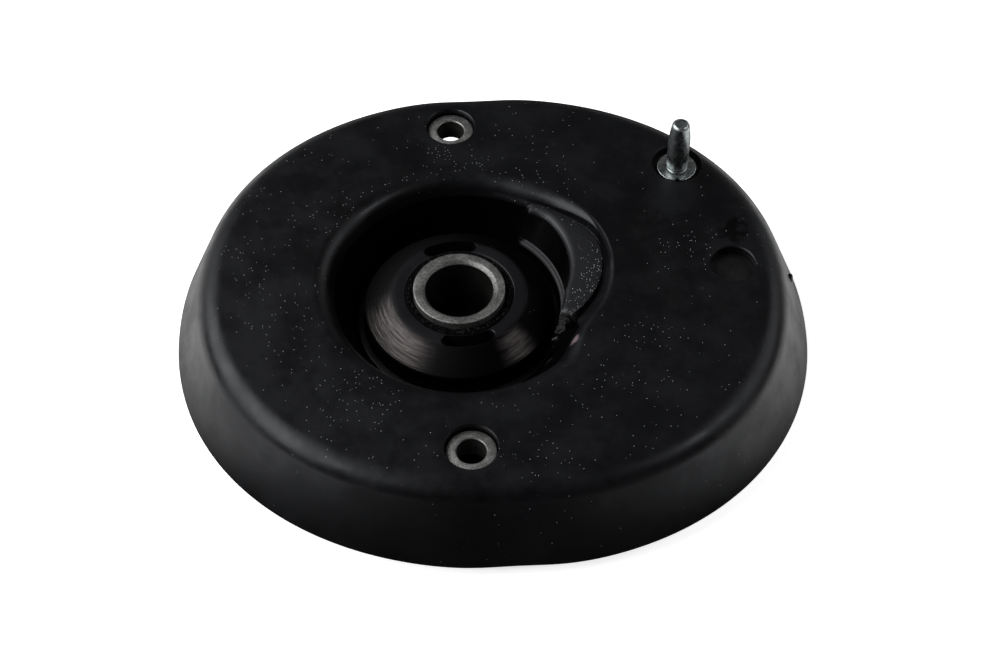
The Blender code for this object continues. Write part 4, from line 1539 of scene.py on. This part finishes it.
@dataclass
class CaptiveNut:
    """Captive nut: a round boss through the deck on a hexagon under it."""

    node: str
    turn: float
    boss_radius: float = 7.7 * MM
    bore_radius: float = 4.6 * MM
    hex_width: float = 17.0 * MM
    hex_height: float = 4.3 * MM
    edge: float = 0.35 * MM
    # Its bore colour is painted shade inside the nut
    finish: GreySteelFinish = GreySteelFinish(
        "nut_steel", dark=(0.11, 0.11, 0.107), pale=(0.37, 0.37, 0.362), bore=(0.12, 0.12, 0.116))

    def ring(self, radius: float, height: float, squared: float) -> list[Vector]:
        """Give a ring about the nut's own axis.

        Args:
            radius: Radius, or half the width over flats.
            height: Height of the ring.
            squared: 0 for a round ring and 1 for a hexagon.

        Returns:
            The places.
        """
        ring = []
        for turn in turns(Detail.SMALL.value):
            off_flat = math.remainder(turn, math.pi / 3)
            reach = radius * (1 + (1 / math.cos(off_flat) - 1) * squared)
            ring.append(unit(turn + self.turn) * reach + Vector((0, 0, height)))
        return ring

    def build(self) -> Piece:
        """Build the nut where its node of the frame is."""
        low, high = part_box(self.node)
        centre = level_centre(self.node)
        bottom, top = low.z, high.z
        shelf = bottom + self.hex_height
        half = self.hex_width / 2
        bore, boss, edge = self.bore_radius, self.boss_radius, self.edge
        corners = [
            (bore, bottom + edge, 0.0),
            (bore, top - edge, 0.0),
            (bore + edge, top, 0.0),
            (boss - edge, top, 0.0),
            (boss - edge * 0.3, top - edge * 0.3, 0.0),
            (boss, top - edge, 0.0),
            (boss, shelf, 0.0),
            (half - edge, shelf, 1.0),
            (half, shelf - edge, 1.0),
            (half, bottom + edge, 1.0),
            (half - edge, bottom, 1.0),
            (bore + edge, bottom, 0.0),
        ]
        shape = skin([self.ring(*corner) for corner in corners])
        bmesh.ops.translate(shape, verts=shape.verts, vec=centre)
        material = self.finish.material(centre, self.bore_radius)
        piece = shape_object(f"{self.node}_seen", shape)
        return dressed(piece, material, self.node)


@dataclass
class LocatingStud:
    """Locating stud: riveted head, collar with a small notch, waisted pin and tapered tip."""

    node: str
    collar_bottom: float
    head_radius: float = 5.3 * MM
    head_thickness: float = 2.0 * MM
    head_rounding: float = 0.8 * MM
    collar_radius: float = 6.65 * MM
    collar_thickness: float = 1.4 * MM
    notch_radius: float = 0.9 * MM
    notch_turn: float = math.radians(-90.0)
    pin_radius: float = 3.65 * MM
    waist_radius: float = 3.1 * MM
    waist_length: float = 1.6 * MM
    taper_length: float = 6.5 * MM
    tip_radius: float = 2.95 * MM
    nose_chamfer: float = 0.7 * MM
    finish: ZincFinish = ZincFinish()

    def build(self) -> Piece:
        """Build the stud where its node of the frame is."""
        low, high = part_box(self.node)
        centre = level_centre(self.node)
        head_top = low.z + self.head_thickness
        collar_top = self.collar_bottom + self.collar_thickness
        corners = [
            (0.0, low.z, 0.0),
            (self.head_radius, low.z, self.head_rounding),
            (self.head_radius, head_top, 0.2 * MM),
            (self.pin_radius, head_top, 0.0),
            (self.pin_radius, self.collar_bottom, 0.0),
            (self.collar_radius, self.collar_bottom, 0.2 * MM),
            (self.collar_radius, collar_top, 0.35 * MM),
            (self.waist_radius, collar_top, 0.5 * MM),
            (self.waist_radius, collar_top + self.waist_length / 2, 0.3 * MM),
            (self.pin_radius, collar_top + self.waist_length, 0.4 * MM),
            (self.pin_radius, high.z - self.taper_length, 2.0 * MM),
            (self.tip_radius, high.z - self.nose_chamfer, 0.3 * MM),
            (self.tip_radius - self.nose_chamfer, high.z, 0.25 * MM),
            (0.0, high.z, 0.0),
        ]
        shape = turned(softened(corners), centre, Detail.SMALL.value, closed=False)
        notch_profile = [
            (0.0, self.collar_bottom - SEAT_GAP / 2),
            (self.notch_radius, self.collar_bottom - SEAT_GAP / 2),
            (self.notch_radius, collar_top + CUT_OVERRUN),
            (0.0, collar_top + CUT_OVERRUN),
        ]
        notch_at = centre + unit(self.notch_turn) * self.collar_radius
        notch = turned(notch_profile, notch_at, Detail.SMALL.value, closed=False)
        piece = carved("stud", shape, [notch])
        return dressed(piece, self.finish.material(centre), self.node)


@dataclass
class Studio:
    """White floor, dim room, a wide soft box at the left, two weak ones at the right, camera."""

    footprint: Point
    floor_size: float = 6.0
    camera_place: Vector = Vector((2.26 * MM, -418.0 * MM, 519.2 * MM))
    camera_pitch: float = math.radians(50.99)
    camera_roll: float = math.radians(-0.56)
    camera_lens: float = 71.93
    camera_sensor: float = 36.0
    shadow_light: float = 0.82
    # Painted shadow: the floor's colour under the part
    painted_shadow_under_part: Colour = (0.02, 0.02, 0.02)
    # Painted shade: the floor's colour beside the part's flanks, as reflections see it
    painted_shade_in_reflections: Colour = (0.07, 0.07, 0.07)
    pale: Colour = (0.8, 0.8, 0.8)
    room_front: float = 0.03
    room_rear: float = 0.08

    # As shares of the part's half sizes: where the floor turns white to the camera, and how
    # far aside it turns white to the part's flanks
    clear_fade: Point = (0.90, 0.97)
    side_fade: Point = (0.85, 1.3)

    # Share of +Y in a direction where the room's light starts and ends its change
    room_fade: Point = (-0.1, 0.6)

    # Name, place, width and height, and power in watts of each soft box
    soft_boxes: tuple[tuple[str, Vector, Point, float], ...] = (
        ("left_soft_box", Vector((-0.85, 0.05, 0.80)), (1.5, 0.85), 20.0),
        ("right_soft_box", Vector((0.95, 0.35, 0.80)), (1.3, 0.7), 3.7),
        ("right_small_box", Vector((0.77, -0.15, 0.91)), (0.22, 0.22), 1.0),
    )

    def build_floor(self) -> None:
        """Lay the floor: white to the camera, with a painted shadow under the part and painted
        shade in its reflections beside the part.
        """
        shape = bmesh.new()
        bmesh.ops.create_grid(shape, x_segments=1, y_segments=1, size=self.floor_size / 2)
        floor = shape_object("floor", shape)
        tree = Tree("pale_floor", specular=0.0)
        squeeze = (1 / self.footprint[0], 1 / self.footprint[1], 0.0)
        inputs = {0: tree.coordinates(), 1: squeeze}
        scaled = tree.add("ShaderNodeVectorMath", inputs, operation="MULTIPLY").outputs[0]
        rays = tree.nodes.new("ShaderNodeLightPath").outputs
        clear = tree.step(tree.distance(scaled), *self.clear_fade)
        at_sides = tree.step(tree.calc("ABSOLUTE", tree.parts(scaled)[0]), *self.side_fade)
        glossy = tree.times(rays["Is Glossy Ray"], at_sides)
        seen = tree.highest(rays["Is Camera Ray"], glossy, rays["Is Transmission Ray"])
        glow = tree.times(clear, self.shadow_light, seen)
        tree.feed(tree.shader.inputs["Emission Color"], (1.0, 1.0, 1.0))
        tree.feed(tree.shader.inputs["Emission Strength"], glow)
        # Painted shade in reflections beside the part, and a painted shadow under it
        mirrored = tree.mix(at_sides, self.painted_shade_in_reflections, self.pale)
        colour = tree.mix(rays["Is Glossy Ray"], self.pale, mirrored)
        colour = tree.mix(clear, self.painted_shadow_under_part, colour)
        floor.data.materials.append(tree.dress(colour, 0.9))

    def build_room(self) -> None:
        """Light the room weakly, more from behind the part than from in front of it."""
        world = bpy.data.worlds.new("room")
        world.use_nodes = True
        nodes, links = world.node_tree.nodes, world.node_tree.links
        direction = nodes.new("ShaderNodeSeparateXYZ")
        shade = nodes.new("ShaderNodeMapRange")
        values = (*self.room_fade, self.room_front, self.room_rear)
        for name, value in zip(("From Min", "From Max", "To Min", "To Max"), values):
            shade.inputs[name].default_value = value
        links.new(nodes.new("ShaderNodeTexCoord").outputs["Object"], direction.inputs[0])
        links.new(direction.outputs["Y"], shade.inputs["Value"])
        links.new(shade.outputs["Result"], nodes["Background"].inputs["Strength"])
        nodes["Background"].inputs["Color"].default_value = (1.0, 1.0, 1.0, 1.0)
        bpy.context.scene.world = world

    def add_light(self, name: str, place: Vector, size: Point, power: float) -> None:
        """Hang a soft box that faces the part.

        Args:
            name: Name of the light.
            place: Its place.
            size: Its width and height.
            power: Its power in watts.
        """
        light = bpy.data.lights.new(name, "AREA")
        light.shape = "RECTANGLE"
        light.size, light.size_y = size
        light.energy = power
        lamp = bpy.data.objects.new(name, light)
        lamp.location = place
        lamp.rotation_euler = (-place).to_track_quat("-Z", "Y").to_euler()
        bpy.context.scene.collection.objects.link(lamp)

    def build_camera(self) -> None:
        """Put the camera where the photograph was taken from."""
        camera = bpy.data.cameras.new("camera")
        camera.lens = self.camera_lens
        camera.sensor_width = self.camera_sensor
        camera.clip_start = 0.05
        camera.clip_end = 20.0
        pitch, roll = self.camera_pitch, self.camera_roll
        forward = Vector((0.0, math.cos(pitch), -math.sin(pitch)))
        level_up = Vector((0.0, math.sin(pitch), math.cos(pitch)))
        level_right = Vector((1.0, 0.0, 0.0))
        right = level_right * math.cos(roll) - level_up * math.sin(roll)
        up = level_right * math.sin(roll) + level_up * math.cos(roll)
        holder = bpy.data.objects.new("camera", camera)
        facing = Matrix((right, up, -forward)).transposed().to_4x4()
        holder.matrix_world = Matrix.Translation(self.camera_place) @ facing
        bpy.context.scene.collection.objects.link(holder)
        bpy.context.scene.camera = holder

    def build(self) -> None:
        """Set up floor, lights, camera and view."""
        self.build_floor()
        self.build_room()
        for soft_box in self.soft_boxes:
            self.add_light(*soft_box)
        self.build_camera()
        bpy.context.scene.view_settings.view_transform = "Standard"


def main() -> None:
    """Build every piece of the mount and the studio round it."""
    logging.basicConfig(level=logging.INFO, format="%(name)s: %(message)s")
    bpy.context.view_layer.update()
    cover_low, cover_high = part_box("rubber_cover")
    ring_low, ring_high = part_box("bush_outer_ring")
    sleeve_low, sleeve_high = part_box("inner_sleeve")
    axis = level_centre("inner_sleeve")
    front_nut = level_centre("captive_nut_front")
    rear_nut = level_centre("captive_nut_rear")
    stud = level_centre("locating_stud")
    nut_line = rear_nut - front_nut
    nut_turn = math.atan2(nut_line.y, nut_line.x)

    dish = Dish(Outline(), foot=cover_low.z, top=cover_high.z)
    neck = Neck(axis, top=cover_high.z)
    pocket = Pocket(axis, top=cover_high.z)
    recesses = [
        Opening(front_nut, NUT_WINDOW_RADIUS),
        Opening(rear_nut, NUT_WINDOW_RADIUS),
        Opening(stud, STUD_WINDOW_RADIUS),
        Opening(DIMPLE, DIMPLE_RADIUS),
    ]
    holes = [
        Opening(front_nut, NUT_HOLE_RADIUS),
        Opening(rear_nut, NUT_HOLE_RADIUS),
        Opening(stud, STUD_HOLE_RADIUS),
    ]
    RubberCover(dish, neck, pocket, recesses).build()
    SteelCarrier(dish, neck, holes).build()
    Bush(axis, ring_low.z, ring_high.z, sleeve_low.z, sleeve_high.z).build()
    CaptiveNut("captive_nut_front", nut_turn).build()
    CaptiveNut("captive_nut_rear", nut_turn).build()
    LocatingStud("locating_stud", collar_bottom=dish.top - dish.rubber_wall).build()
    Studio(footprint=(cover_high.x, cover_high.y)).build()


if __name__ == "__main__":
    main()
